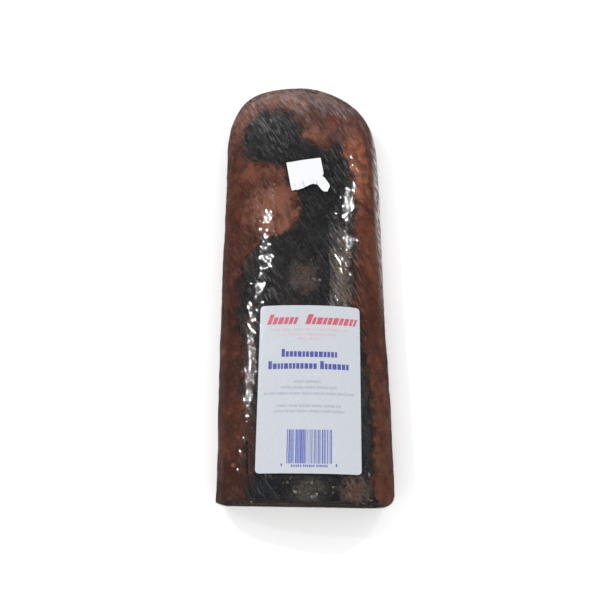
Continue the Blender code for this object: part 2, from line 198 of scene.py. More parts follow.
def waves(u, v, seed):
    """Smooth random waves between about -1 and 1, one to each unit of u and v."""
    angles = np.random.default_rng(seed).random((WAVE_CELLS, WAVE_CELLS)) * 2.0 * np.pi
    iu, iv = np.floor(u).astype(int), np.floor(v).astype(int)
    fu, fv = u - iu, v - iv

    def corner(du, dv):
        angle = angles[(iu + du) % WAVE_CELLS, (iv + dv) % WAVE_CELLS]
        return np.cos(angle) * (fu - du) + np.sin(angle) * (fv - dv)

    su = fu ** 3 * (fu * (fu * 6.0 - 15.0) + 10.0)
    sv = fv ** 3 * (fv * (fv * 6.0 - 15.0) + 10.0)
    near = corner(0, 0) * (1.0 - su) + corner(1, 0) * su
    far = corner(0, 1) * (1.0 - su) + corner(1, 1) * su
    return WAVE_GAIN * (near * (1.0 - sv) + far * sv)


def layered(u, v, layers):
    """Layers of waves added up, each with its height, lengths along u and v, and seed."""
    return sum(height * waves(u / long, v / wide, seed) for height, long, wide, seed in layers)


def smooth_step(low, high, value):
    share = np.clip((value - low) / (high - low), 0.0, 1.0)
    return share * share * (3.0 - 2.0 * share)


def only(piece):
    bpy.ops.object.select_all(action="DESELECT")
    piece.select_set(True)
    bpy.context.view_layer.objects.active = piece


@contextmanager
def editing(piece):
    """Edit mode on one piece, with all of it selected."""
    only(piece)
    bpy.ops.object.mode_set(mode="EDIT")
    bpy.ops.mesh.select_all(action="SELECT")
    yield
    bpy.ops.object.mode_set(mode="OBJECT")


def face_outwards():
    bpy.ops.mesh.select_all(action="SELECT")
    bpy.ops.mesh.normals_make_consistent(inside=False)


def get_points(piece):
    points = np.empty(len(piece.data.vertices) * 3)
    piece.data.vertices.foreach_get("co", points)
    return points.reshape(-1, 3)


def set_points(piece, points):
    piece.data.vertices.foreach_set("co", np.ascontiguousarray(points, dtype=float).ravel())
    piece.data.update()


def grid_piece(name, columns, rows):
    """A new grid; returns it with its points' places across and along, 0 to 1."""
    bpy.ops.object.select_all(action="DESELECT")
    bpy.ops.mesh.primitive_grid_add(x_subdivisions=columns, y_subdivisions=rows, size=1.0)
    piece = bpy.context.active_object
    piece.name = name
    piece.data.name = name
    points = get_points(piece)
    return piece, points[:, 0] + 0.5, points[:, 1] + 0.5


def weld(piece):
    with editing(piece):
        bpy.ops.mesh.remove_doubles(threshold=0.002 / MM_PER_M)
        face_outwards()


def wrap_round_roll(u, v, inset, cap_rows):
    """Lays a grid over the whole roll: the cut face first, then its length and its tip."""
    around = np.interp(u, COLUMN_STOPS, SECTION_STOPS)
    cut_y = CUT_Y + inset
    body = np.clip((v - cap_rows) / (BODY_ROWS - cap_rows), 0.0, 1.0)
    tip = np.clip((v - BODY_ROWS) / TIP_ROWS, 0.0, 1.0)
    reach = END_Y - inset - ROUND_START_Y
    y = cut_y + (ROUND_START_Y - cut_y) * body + reach * (1.0 - (1.0 - tip) ** TIP_CROWDING)
    points = section_point(around, y, inset)
    outer_share = (y - ROUND_START_Y) / reach
    outer_y = np.where(y > ROUND_START_Y, ROUND_START_Y + outer_share * (END_Y - ROUND_START_Y), y)
    outer = section_point(around, np.minimum(outer_y, END_Y), 0.0)
    rise = crust_relief(outer)
    outward = outer - np.array((0.0, 0.0, WIDEST_HEIGHT))
    outward[:, 1] = 0.0
    outward /= np.maximum(np.linalg.norm(outward, axis=1), 1e-6)[:, None]
    points += outward * rise[:, None]
    capped = np.clip(v / cap_rows, 0.0, 1.0)
    heart = np.array((0.0, cut_y, 0.5 * HEIGHT))
    on_cap = v < cap_rows
    points[on_cap] = heart + (points[on_cap] - heart) * capped[on_cap, None]
    tip_end = v > LAST_ROW
    points[tip_end] = points[tip_end].mean(axis=0)
    return askew(points), around, outward


def smooth_loop(points, cuts):
    """A closed loop through the points, rounded by a Catmull-Rom curve."""
    loop = []
    count = len(points)
    for i in range(count):
        a, b, c, d = (np.array(points[(i + n) % count]) for n in (-1, 0, 1, 2))
        for k in range(cuts):
            t = k / cuts
            bend = 2 * a - 5 * b + 4 * c - d
            twist = 3 * b - a - 3 * c + d
            loop.append(0.5 * (2 * b + (c - a) * t + bend * t * t + twist * t ** 3))
    return np.array(loop)


TEAR_LOOP = smooth_loop(TEAR_EDGE, 4)
AT_ONCE = 4000


def inside_distance(x, y, loop):
    """Distance of each place to the loop, positive inside it."""
    result = np.empty(len(x))
    run = np.roll(loop, -1, axis=0) - loop
    ends = loop[None, :, 1] + run[None, :, 1]
    length = np.maximum((run ** 2).sum(axis=1), 1e-18)
    level_safe = np.where(np.abs(run[:, 1]) < 1e-12, 1e-12, run[:, 1])
    for first in range(0, len(x), AT_ONCE):
        rows = y[first:first + AT_ONCE, None]
        px = x[first:first + AT_ONCE, None] - loop[None, :, 0]
        py = rows - loop[None, :, 1]
        share = np.clip((px * run[:, 0] + py * run[:, 1]) / length, 0.0, 1.0)
        gap = np.hypot(px - share * run[:, 0], py - share * run[:, 1]).min(axis=1)
        crossing = (loop[None, :, 1] > rows) != (ends > rows)
        meets = px < run[:, 0] * py / level_safe
        inside = (crossing & meets).sum(axis=1) % 2 == 1
        result[first:first + AT_ONCE] = np.where(inside, gap, -gap)
    return result


def top_height_at(x, y, inset):
    """Height of the roll's smooth upper form over a place seen from above."""
    left, right, top, base = section_sizes(y, inset)
    width = np.where(x >= 0.0, right, left)
    share = np.clip(np.abs(x) / np.maximum(width, 1e-6), 0.0, 0.9999)
    return WIDEST_HEIGHT + (top - WIDEST_HEIGHT) * (1.0 - share ** DOME_POWER) ** (1.0 / DOME_POWER)


def tear_depth(x, y):
    """Distance inside the tear's ragged edge, positive where the filling lies bare."""
    return inside_distance(x, y, TEAR_LOOP) + layered(x, y, TEAR_WAVES)


# The rolled sheet of filling. Its turns are counted from SPIRAL_START round the section,
# it steps inwards at the end of each turn, and it winds about a flat heart.
CRUST_DEPTH = 0.0032
FILLING_THICKNESS = 0.0080
DOUGH_THICKNESS = 0.0028
FILLING_TURNS = 1.80
SPIRAL_START = 0.80
SPIRAL_STEPS = 150
STEP_POWER = 5
HEART_WIDTH = 0.62
DEEPEST_SHARE = 0.88
TURN_LENGTH = 0.24
FILLING_REACH = 0.8
END_RINGS = (0.35, 0.62, 0.82, 1.0)


def spiral_points(turns, y, under, deeper):
    """Points of the filling sheet's outer face, or of its inner face if `under`."""
    wound = np.maximum(turns, 0.0)
    whole = np.floor(wound)
    stepped = whole + (wound - whole) ** STEP_POWER
    depth = CRUST_DEPTH + (FILLING_THICKNESS + DOUGH_THICKNESS) * stepped
    depth = depth + (FILLING_THICKNESS if under else 0.0)
    places = np.full(len(turns), y)
    rim = section_point(SPIRAL_START + turns, places, CUT_INSET)
    left, right, top, base = section_sizes(places, CUT_INSET)
    axis = np.stack((HEART_WIDTH * rim[:, 0], places, 0.5 * (top + base)), axis=1)
    inward = axis - rim
    reach = np.linalg.norm(inward, axis=1)
    scaled = np.minimum(depth * (top - base) / HEIGHT, DEEPEST_SHARE * reach) + deeper
    return askew(rim + inward / reach[:, None] * scaled[:, None])


def rolled_sheet(name, near_y, grow):
    """The filling's spiral sheet as a closed mesh, grown by `grow` if it is a cutter."""
    turns = np.linspace(0.0, FILLING_TURNS, SPIRAL_STEPS + 1)
    cut_y = CUT_Y + CUT_INSET
    places = [cut_y, cut_y + 0.5 * CRUSH_LENGTH, cut_y + CRUSH_LENGTH]
    places += [CUT_Y + SKEW_REACH, ROUND_START_Y]
    reach = FILLING_REACH * (END_Y - CUT_INSET - ROUND_START_Y)
    places += [ROUND_START_Y + reach * share for share in END_RINGS]
    slides = [0.0] * len(places)
    if grow > 0.0:
        extra = 2.0 * grow / TURN_LENGTH
        turns = np.concatenate(((-extra,), turns, (FILLING_TURNS + extra,)))
        places = [near_y] + places + [places[-1]]
        slides = [0.0] + slides + [grow]
    sheet = bmesh.new()
    rings = []
    for y, slide in zip(places, slides):
        outer = spiral_points(turns, y, False, -grow)
        inner = spiral_points(turns, y, True, grow)[::-1]
        ring = np.concatenate((outer, inner))
        ring[:, 1] += slide
        rings.append([sheet.verts.new(p) for p in ring])
    count = len(rings[0])
    for near, far in zip(rings, rings[1:]):
        for k in range(count):
            j = (k + 1) % count
            sheet.faces.new((near[k], near[j], far[j]))
            sheet.faces.new((near[k], far[j], far[k]))
    for ring in (rings[0], rings[-1]):
        for k in range(count // 2 - 1):
            sheet.faces.new((ring[k], ring[k + 1], ring[count - 2 - k], ring[count - 1 - k]))
    bmesh.ops.recalc_face_normals(sheet, faces=sheet.faces)
    mesh = bpy.data.meshes.new(name)
    sheet.to_mesh(mesh)
    sheet.free()
    return placed(name, mesh)


def placed(name, mesh):
    piece = bpy.data.objects.new(name, mesh)
    bpy.context.scene.collection.objects.link(piece)
    return piece


def boolean(target, operation, tool):
    step = target.modifiers.new(tool.name, "BOOLEAN")
    step.operation = operation
    step.solver = "EXACT"
    step.object = tool
    only(target)
    bpy.ops.object.modifier_apply(modifier=step.name)
    bpy.data.objects.remove(tool, do_unlink=True)


def add_attribute(piece, name, values):
    layer = piece.data.attributes.new(name, "FLOAT", "POINT")
    layer.data.foreach_set("value", np.ascontiguousarray(values, dtype=np.float32))


def mark_tear(piece, elsewhere):
    """Marks the piece's top with each point's distance inside the tear, in millimetres."""
    points = get_points(piece)
    bare = tear_depth(points[:, 0], points[:, 1])
    add_attribute(piece, "tear", np.where(points[:, 2] > TOP_START, bare * MM_PER_M, elsewhere))


def shade_smooth(piece, degrees):
    only(piece)
    bpy.ops.object.shade_smooth_by_angle(angle=math.radians(degrees))


class Nodes:
    """The nodes of one material, or of the studio's light, under construction."""

    def __init__(self, tree):
        self.tree = tree

    def feed(self, socket, value):
        """Gives a socket a value, a colour or another node's output."""
        if isinstance(value, bpy.types.NodeSocket):
            self.tree.links.new(value, socket)
        elif socket.type == "RGBA":
            socket.default_value = (*value, 1.0)
        else:
            socket.default_value = value

    def add(self, kind, inputs=(), **settings):
        node = self.tree.nodes.new(kind)
        for key, value in settings.items():
            setattr(node, key, value)
        for key, value in dict(inputs).items():
            self.feed(node.inputs[key], value)
        return node

    def span(self, value, low, high, to_low=0.0, to_high=1.0):
        return self.add("ShaderNodeMapRange", {
            "Value": value, "From Min": low, "From Max": high, "To Min": to_low, "To Max": to_high,
        }, interpolation_type="SMOOTHSTEP").outputs["Result"]

    def math(self, operation, a, b=0.0):
        return self.add("ShaderNodeMath", {0: a, 1: b}, operation=operation).outputs[0]

    def times(self, a, b):
        return self.math("MULTIPLY", a, b)

    def plus(self, a, b):
        return self.math("ADD", a, b)

    def mix(self, share, a, b, blend="MIX"):
        node = self.add("ShaderNodeMix", data_type="RGBA", blend_type=blend)
        for socket, value in (("Factor", share), (6, a), (7, b)):
            self.feed(node.inputs[socket], value)
        return node.outputs[2]

    def blend(self, share, under, over):
        """One shader's output laid over another's."""
        return self.add("ShaderNodeMixShader", {0: share, 1: under, 2: over}).outputs[0]


class Finish(Nodes):
    """A material whose patterns read Object coordinates and the piece's own attributes."""

    def __init__(self, name):
        self.material = bpy.data.materials.new(name)
        self.material.use_nodes = True
        super().__init__(self.material.node_tree)
        self.shader = self.tree.nodes["Principled BSDF"]
        self.place = self.add("ShaderNodeTexCoord").outputs["Object"]

    def look(self, colour, roughness, normal=None, specular=0.5):
        self.feed(self.shader.inputs["Base Color"], colour)
        self.feed(self.shader.inputs["Roughness"], roughness)
        self.feed(self.shader.inputs["Specular IOR Level"], specular)
        if normal is not None:
            self.feed(self.shader.inputs["Normal"], normal)

    def show(self, shader):
        """Lets a mixed shader take the Principled shader's place."""
        self.feed(self.tree.nodes["Material Output"].inputs["Surface"], shader)

    def wear(self, piece):
        piece.data.materials.clear()
        piece.data.materials.append(self.material)

    def noise(self, scale, detail, rough, place=None, distortion=0.0):
        return self.add("ShaderNodeTexNoise", {
            "Vector": place or self.place, "Scale": scale, "Detail": detail,
            "Roughness": rough, "Distortion": distortion,
        }).outputs["Fac"]

    def wander(self, scale, detail, rough, reach):
        """Noise about 0, over `reach` in all."""
        return self.times(self.math("SUBTRACT", self.noise(scale, detail, rough), 0.5), reach)

    def cells(self, place, scale):
        return self.add("ShaderNodeTexVoronoi", {"Vector": place, "Scale": scale}).outputs

    def fitted(self, size, turn=0.0, centre=(0.0, 0.0, 0.0)):
        """Object coordinates moved to `centre`, turned about Z and divided by `size`."""
        return self.add("ShaderNodeMapping", {
            "Vector": self.place, "Location": centre, "Rotation": (0.0, 0.0, turn), "Scale": size,
        }, vector_type="TEXTURE").outputs["Vector"]

    def attribute(self, name):
        return self.add("ShaderNodeAttribute", attribute_name=name).outputs["Fac"]

    def axes(self):
        return self.add("ShaderNodeSeparateXYZ", {"Vector": self.place}).outputs

    def bump(self, height, distance, strength, under=None):
        node = self.add("ShaderNodeBump", {
            "Height": height, "Distance": distance, "Strength": strength,
        })
        if under is not None:
            self.feed(node.inputs["Normal"], under)
        return node.outputs["Normal"]

    def ramp(self, value, *stops):
        """Blends colours between stops of (place, colour)."""
        node = self.add("ShaderNodeValToRGB", {"Fac": value})
        band = node.color_ramp
        while len(band.elements) < len(stops):
            band.elements.new(0.5)
        for element, (place, colour) in zip(band.elements, stops):
            element.position = place
            element.color = (*colour, 1.0)
        return node.outputs["Color"]

    def tint(self, base, value, low, high, share, colour):
        """Mixes `share` of a colour into the base as the value goes from low to high."""
        return self.mix(self.span(value, low, high, 0.0, share), base, colour)

    def patches(self, base, rows, ragged, where=None):
        """Paints soft ragged ovals, seen from above, over the base.

        Each row has an oval's centre, its half sizes, its share of the mix and its colour.
        """
        for x, y, wide, long, share, colour in rows:
            oval = self.fitted((wide, long, 100.0), centre=(x, y, 0.0))
            away = self.add("ShaderNodeVectorMath", {0: oval}, operation="LENGTH").outputs["Value"]
            edge = self.plus(away, self.wander(170.0, 4.0, 0.6, ragged))
            strength = share if where is None else self.times(where, share)
            base = self.mix(self.times(self.span(edge, 1.1, 0.35), strength), base, colour)
        return base


LOAF_CAP = 0.05
BLISTER_START = 0.055
BLISTERS = ((0.00022, 0.007, 0.007, 21), (0.00010, 0.0028, 0.0028, 22))
LIP = (-0.0007, 0.0016)
RIM_POINTS = 400
CUTTER_START, CUTTER_GAP = CUT_Y - 0.01, 0.0002
OFF_TOP = 20.0

loaf, across, along = grid_piece("baked_dough", 200, 290)
points, around, outward = wrap_round_roll(across, along, DOUGH_INSET, LOAF_CAP)
bare = tear_depth(points[:, 0], points[:, 1])
on_top = (around < DOME_END) & (along >= LOAF_CAP)
blisters = layered(points[:, 0], points[:, 1], BLISTERS)
blisters *= np.clip(points[:, 2] / WIDEST_HEIGHT, 0.0, 1.0)
points = points + outward * blisters[:, None] * (along > BLISTER_START)[:, None]
points[:, 2] -= np.where(on_top, BARE_DROP * smooth_step(*LIP, bare), 0.0)
set_points(loaf, points)
weld(loaf)
boolean(loaf, "DIFFERENCE", rolled_sheet("sheet_cutter", CUTTER_START, CUTTER_GAP))
mark_tear(loaf, -OFF_TOP)
points = get_points(loaf)
ring_around = np.linspace(0.0, 1.0, RIM_POINTS, endpoint=False)
ring = section_point(ring_around, np.full(RIM_POINTS, CUT_Y + 0.001), 0.0)
rim = np.empty(len(points))
for first in range(0, len(points), AT_ONCE):
    some = points[first:first + AT_ONCE]
    gaps = np.hypot(some[:, None, 0] - ring[None, :, 0], some[:, None, 2] - ring[None, :, 2])
    rim[first:first + AT_ONCE] = gaps.min(axis=1)
add_attribute(loaf, "rim", rim * MM_PER_M)
shade_smooth(loaf, 35.0)

CRUST_PATCHES = (
    (-0.057, 0.040, 0.011, 0.080, 0.8, (0.082, 0.016, 0.006)),
    (-0.022, 0.048, 0.028, 0.030, 0.85, (0.245, 0.128, 0.112)),
    (-0.040, 0.088, 0.012, 0.010, 0.7, (0.180, 0.072, 0.040)),
    (-0.008, 0.164, 0.040, 0.018, 0.8, (0.230, 0.100, 0.074)),
    (-0.046, 0.148, 0.018, 0.022, 0.7, (0.230, 0.120, 0.095)),
    (0.029, 0.137, 0.010, 0.014, 0.9, (0.135, 0.022, 0.008)),
    (0.013, 0.121, 0.013, 0.010, 0.85, (0.230, 0.110, 0.084)),
    (0.047, 0.094, 0.011, 0.045, 0.9, (0.270, 0.105, 0.062)),
    (0.048, 0.082, 0.013, 0.040, 0.8, (0.330, 0.150, 0.095)),
    (0.056, 0.023, 0.014, 0.045, 0.8, (0.160, 0.052, 0.026)),
    (0.052, -0.046, 0.014, 0.036, 0.9, (0.070, 0.020, 0.009)),
    (0.057, -0.130, 0.018, 0.066, 0.85, (0.118, 0.050, 0.034)),
    (-0.056, -0.060, 0.018, 0.070, 0.9, (0.052, 0.012, 0.007)),
    (-0.043, -0.077, 0.005, 0.010, 0.6, (0.110, 0.064, 0.055)),
    (-0.056, -0.172, 0.020, 0.030, 0.85, (0.040, 0.008, 0.005)),
    (-0.041, -0.138, 0.003, 0.003, 0.8, (0.250, 0.170, 0.140)),
    (-0.043, -0.150, 0.004, 0.003, 0.7, (0.200, 0.130, 0.110)),
    (-0.052, -0.156, 0.0025, 0.002, 0.8, (0.240, 0.160, 0.140)),
)
CRUST_CAST = (1.06, 0.76, 0.52)
PORE_SIZE = (0.0034, 0.0020, 0.0016)
CUT_SLOPE = CUT_SKEW / CUT_HALF_WIDTH

crust = Finish("baked_crust")
mottle = crust.noise(110.0, 5.0, 0.65, distortion=0.4)
grain = crust.noise(620.0, 3.0, 0.6)
drawn_out = crust.noise(1.0, 4.0, 0.65, crust.fitted((0.0075, 0.026, 0.012), math.radians(6.0)))
blotch = crust.noise(50.0, 4.0, 0.6, distortion=0.5)
browned = crust.ramp(
    crust.noise(20.0, 4.0, 0.6, distortion=0.8),
    (0.30, (0.044, 0.012, 0.007)), (0.45, (0.085, 0.026, 0.013)),
    (0.58, (0.115, 0.038, 0.020)), (0.72, (0.155, 0.060, 0.036)),
)
browned = crust.patches(browned, CRUST_PATCHES, 1.5)
for value, low, high, share, colour in (
    (drawn_out, 0.50, 0.70, 0.55, (0.048, 0.010, 0.004)),
    (drawn_out, 0.47, 0.28, 0.45, (0.210, 0.082, 0.046)),
    (blotch, 0.48, 0.34, 0.60, (0.040, 0.011, 0.006)),
    (blotch, 0.56, 0.72, 0.40, (0.210, 0.090, 0.058)),
    (mottle, 0.46, 0.68, 0.65, (0.038, 0.011, 0.007)),
    (grain, 0.52, 0.75, 0.40, (0.185, 0.085, 0.055)),
    (mottle, 0.44, 0.28, 0.45, (0.185, 0.088, 0.062)),
):
    browned = crust.tint(browned, value, low, high, share, colour)
smeared = crust.plus(crust.attribute("tear"), crust.wander(85.0, 5.0, 0.7, 34.0))
browned = crust.tint(browned, smeared, -5.5, 1.0, 0.92, (0.017, 0.013, 0.016))
browned = crust.mix(1.0, browned, CRUST_CAST, "MULTIPLY")
# Painted shade: the crumb is darker than plain crumb, partly stained by the filling and partly
# standing for the shade on the cut face. Its pores are painted dark for the shade inside them.
crumb = crust.ramp(
    crust.noise(260.0, 4.0, 0.65),
    (0.35, (0.046, 0.024, 0.011)), (0.55, (0.088, 0.049, 0.023)), (0.75, (0.140, 0.084, 0.042)),
)
pore = crust.cells(crust.fitted(PORE_SIZE), 1.0)["Distance"]
pore = crust.plus(pore, crust.span(grain, 0.3, 0.7, -0.2, 0.2))
crumb = crust.tint(crumb, pore, 0.30, 0.12, 0.75, (0.022, 0.011, 0.005))
crumb = crust.tint(crumb, pore, 0.55, 0.90, 0.55, (0.200, 0.128, 0.066))
rind = crust.plus(crust.attribute("rim"), crust.span(mottle, 0.3, 0.7, -0.7, 0.7))
crumb = crust.tint(crumb, rind, 4.2, 1.2, 1.0, (0.026, 0.011, 0.006))
place = crust.axes()
from_cut = crust.plus(place["Y"], crust.times(place["X"], CUT_SLOPE))
on_cut = crust.span(from_cut, CUT_Y + DOUGH_INSET + 0.0004, CUT_Y + DOUGH_INSET + 0.0001)
crust.look(
    crust.mix(on_cut, browned, crumb), crust.span(mottle, 0.3, 0.7, 0.45, 0.70),
    crust.bump(mottle, 0.0010, 0.5, crust.bump(grain, 0.0004, 0.6)), 0.25,
)
crust.wear(loaf)
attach(loaf, "root")
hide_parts("roll_dough")

# The filling: ground poppy seed cooked to a dark moist paste with honey, spread on the
# dough before it is rolled. It fills the spiral from the cut end to the round end, and
# lies bare where the crust has torn.
BARE_INSET = 0.0012
BARE_THICKNESS = 0.0060
BARE_MARGIN = 0.0012
BED_WIDTH = 0.106
BED_LENGTH = 0.338
BED_START = 0.004
LUMPS = ((0.00035, 0.008, 0.008, 31), (0.00022, 0.0031, 0.0031, 32))


def extrude_down(thickness):
    bpy.ops.mesh.extrude_region_move(TRANSFORM_OT_translate={"value": (0.0, 0.0, -thickness)})
    face_outwards()


filling = rolled_sheet("poppy_paste", CUT_Y, 0.0)
bed, across, along = grid_piece("bare_filling", 106, 345)
bed_x = -BED_WIDTH / 2 + BED_WIDTH * across
bed_y = CUT_Y - BED_START + BED_LENGTH * along
bed_z = top_height_at(bed_x, np.maximum(bed_y, CUT_Y), BARE_INSET) + layered(bed_x, bed_y, LUMPS)
form = np.stack((bed_x, bed_y, bed_z), axis=1)
form[:, 2] += crust_relief(form)
set_points(bed, form)
with editing(bed):
    bpy.ops.mesh.select_mode(type="VERT")
    bpy.ops.mesh.select_all(action="DESELECT")
bed.data.vertices.foreach_set("select", tear_depth(bed_x, bed_y) <= -BARE_MARGIN)
bpy.ops.object.mode_set(mode="EDIT")
bpy.ops.mesh.delete(type="VERT")
bpy.ops.mesh.select_all(action="SELECT")
extrude_down(BARE_THICKNESS)
bpy.ops.mesh.bisect(
    plane_co=(0.0, CUT_Y + CUT_INSET, 0.0), plane_no=(CUT_SLOPE, 1.0, 0.0),
    use_fill=True, clear_inner=True,
)
bpy.ops.object.mode_set(mode="OBJECT")
boolean(filling, "UNION", bed)
mark_tear(filling, OFF_TOP)
shade_smooth(filling, 40.0)

PASTE_PATCHES = (
    (0.002, -0.012, 0.015, 0.018, 0.95, (0.092, 0.060, 0.050)),
    (0.033, -0.014, 0.011, 0.052, 0.95, (0.150, 0.100, 0.068)),
    (-0.030, -0.175, 0.016, 0.012, 0.7, (0.007, 0.010, 0.017)),
    (0.004, -0.176, 0.017, 0.012, 0.95, (0.082, 0.072, 0.060)),
    (0.037, -0.176, 0.013, 0.013, 0.95, (0.120, 0.062, 0.043)),
    (0.045, -0.120, 0.004, 0.050, 0.7, (0.028, 0.028, 0.034)),
    (-0.042, -0.075, 0.009, 0.050, 0.95, (0.066, 0.025, 0.016)),
    (-0.040, -0.140, 0.009, 0.040, 0.95, (0.066, 0.025, 0.016)),
    (-0.042, 0.008, 0.010, 0.016, 0.7, (0.040, 0.026, 0.020)),
    # Painted shadow: the black spot by the sticker's left edge stands for the shade under the
    # sticker.
    (-0.012, 0.087, 0.005, 0.006, 0.9, (0.003, 0.003, 0.004)),
)

paste = Finish("poppy_paste")
grains = paste.cells(paste.place, 1100.0)
grain_tone = paste.add("ShaderNodeSeparateColor", {0: grains["Color"]}).outputs[0]
clumps = paste.noise(170.0, 5.0, 0.65)
dark = paste.ramp(
    paste.noise(38.0, 4.0, 0.6),
    (0.30, (0.0050, 0.0056, 0.0072)), (0.50, (0.0100, 0.0102, 0.0120)),
    (0.62, (0.0190, 0.0165, 0.0160)), (0.76, (0.0420, 0.0300, 0.0240)),
)
lying_bare = paste.span(paste.axes()["Z"], 0.037, 0.043)
dark = paste.patches(dark, PASTE_PATCHES, 2.4, lying_bare)
by_lip = paste.plus(paste.attribute("tear"), paste.wander(85.0, 5.0, 0.7, 26.0))
for value, low, high, share, colour in (
    (clumps, 0.52, 0.76, 0.45, (0.050, 0.040, 0.035)),
    (clumps, 0.46, 0.30, 0.75, (0.003, 0.003, 0.004)),
    (grain_tone, 0.70, 1.0, 0.35, (0.052, 0.056, 0.066)),
    (by_lip, 3.0, -3.5, 0.85, (0.070, 0.028, 0.016)),
):
    dark = paste.tint(dark, value, low, high, share, colour)
paste.look(
    dark, paste.span(clumps, 0.3, 0.7, 0.45, 0.70),
    paste.bump(clumps, 0.0012, 0.7, paste.bump(grains["Distance"], 0.0005, 0.8)), 0.25,
)
paste.wear(filling)
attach(filling, "root")
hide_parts("poppy_filling")

# Whole poppy seeds: kidney-shaped, slate blue to black, under a millimetre long. They
# stand out of the bare filling and of its bands on the cut face, where the knife has
# dragged some over the crumb.
SEED_TRIALS = 60000
SEED_COUNT = 6400
CUT_SEED_COUNT = 1500
DRAGGED_COUNT = 420
SEED_SIZE = (0.00052, 0.00038, 0.00034)
SEED_BEND = 0.35
SEED_FIELD = ((-0.052, 0.052), (CUT_Y + 0.002, 0.150))
SEED_MARGIN = 0.0003
SEED_UNDER_LABEL = 0.002
SEED_LEVELS = (-0.0002, 0.00005)
SEED_DEPTHS_IN_CUT = (0.00012, 0.00035)
DRAGGED_SIDES, DRAGGED_LEVELS = (-0.9, 0.9), (0.08, 0.88)
DRAGGED_NARROWING = 0.45

LABEL_SIZE = (0.0772, 0.1286)
LABEL_CENTRE = (0.0047, -0.1000)
LABEL_TURN = math.radians(-1.5)


def beyond_label(x, y):
    """How far a place lies outside the label's edge, negative under the label."""
    from_x, from_y = x - LABEL_CENTRE[0], y - LABEL_CENTRE[1]
    across = from_x * math.cos(LABEL_TURN) + from_y * math.sin(LABEL_TURN)
    along = from_y * math.cos(LABEL_TURN) - from_x * math.sin(LABEL_TURN)
    return np.maximum(np.abs(across) - LABEL_SIZE[0] / 2, np.abs(along) - LABEL_SIZE[1] / 2)


def surface_tree(piece):
    return BVHTree.FromPolygons(
        [v.co.copy() for v in piece.data.vertices],
        [tuple(p.vertices) for p in piece.data.polygons],
    )


def height_on(tree, x, y):
    """Heights of the surface under the places, seen from above."""
    down = Vector((0.0, 0.0, -1.0))
    return np.array([tree.ray_cast(Vector((a, b, 1.0)), down)[0].z for a, b in zip(x, y)])


def places_on_cut(draw, count, least, most):
    """Random places on the spiral's cut face, between two shares of its thickness."""
    turns = draw.uniform(0.0, FILLING_TURNS, count)
    share = draw.uniform(least, most, (count, 1))
    outer = spiral_points(turns, CUT_Y + CUT_INSET, False, 0.0)
    inner = spiral_points(turns, CUT_Y + CUT_INSET, True, 0.0)
    return outer + (inner - outer) * share


def scatter(name, template, faces, places, sizes, seed):
    """One mesh of turned copies of a small form, with a random tone for each."""
    draw = np.random.default_rng(seed)
    count = len(places)
    axes = draw.normal(size=(count, 4))
    axes /= np.linalg.norm(axes, axis=1)[:, None]
    w, i, j, k = axes.T
    turn = np.empty((count, 3, 3))
    turn[:, 0] = np.stack(
        (1 - 2 * (j * j + k * k), 2 * (i * j - k * w), 2 * (i * k + j * w)), axis=1)
    turn[:, 1] = np.stack(
        (2 * (i * j + k * w), 1 - 2 * (i * i + k * k), 2 * (j * k - i * w)), axis=1)
    turn[:, 2] = np.stack(
        (2 * (i * k - j * w), 2 * (j * k + i * w), 1 - 2 * (i * i + j * j)), axis=1)
    scaled = template[None] * sizes[:, None, None]
    spots = np.einsum("nij,nvj->nvi", turn, scaled) + places[:, None, :]
    shifts = np.arange(count)[:, None, None] * len(template)
    mesh = bpy.data.meshes.new(name)
    corners = (faces[None] + shifts).reshape(-1, 3)
    mesh.from_pydata(spots.reshape(-1, 3).tolist(), [], corners.tolist())
    piece = placed(name, mesh)
    add_attribute(piece, "tone", np.repeat(draw.random(count), len(template)))
    only(piece)
    bpy.ops.object.shade_smooth()
    return piece


def small_form(subdivisions, size):
    """A ball's points, scaled to a grain's half sizes, and its faces."""
    bpy.ops.object.select_all(action="DESELECT")
    bpy.ops.mesh.primitive_ico_sphere_add(subdivisions=subdivisions, radius=1.0)
    ball = bpy.context.active_object
    template = get_points(ball) * np.array(size)
    faces = np.array([tuple(p.vertices) for p in ball.data.polygons])
    bpy.data.objects.remove(ball, do_unlink=True)
    return template, faces


seed_form, seed_faces = small_form(1, SEED_SIZE)
seed_form[:, 2] += SEED_BEND * seed_form[:, 0] ** 2 / SEED_SIZE[0]
paste_tree = surface_tree(filling)
draw_seeds = np.random.default_rng(5)
x = draw_seeds.uniform(*SEED_FIELD[0], SEED_TRIALS)
y = draw_seeds.uniform(*SEED_FIELD[1], SEED_TRIALS)
keep = (tear_depth(x, y) > SEED_MARGIN) & (beyond_label(x, y) > -SEED_UNDER_LABEL)
x, y = x[keep][:SEED_COUNT], y[keep][:SEED_COUNT]
z = height_on(paste_tree, x, y) + draw_seeds.uniform(*SEED_LEVELS, len(x))
bare_seeds = np.stack((x, y, z), axis=1)
cut_seeds = places_on_cut(draw_seeds, CUT_SEED_COUNT, 0.06, 0.94)
cut_seeds[:, 1] += draw_seeds.uniform(*SEED_DEPTHS_IN_CUT, CUT_SEED_COUNT)
side = draw_seeds.uniform(*DRAGGED_SIDES, DRAGGED_COUNT)
level = draw_seeds.uniform(*DRAGGED_LEVELS, DRAGGED_COUNT)
dragged = np.stack((
    side * CUT_HALF_WIDTH * (1.0 - DRAGGED_NARROWING * level ** 3),
    CUT_Y + DOUGH_INSET + draw_seeds.uniform(0.0, 0.0002, DRAGGED_COUNT),
    level * HEIGHT,
), axis=1)
places = np.concatenate((bare_seeds, cut_seeds, askew(dragged)))
seed_sizes = draw_seeds.uniform(0.75, 1.15, len(places))
poppy_seeds = scatter("poppy_seeds", seed_form, seed_faces, places, seed_sizes, 6)
slate = Finish("poppy_seed")
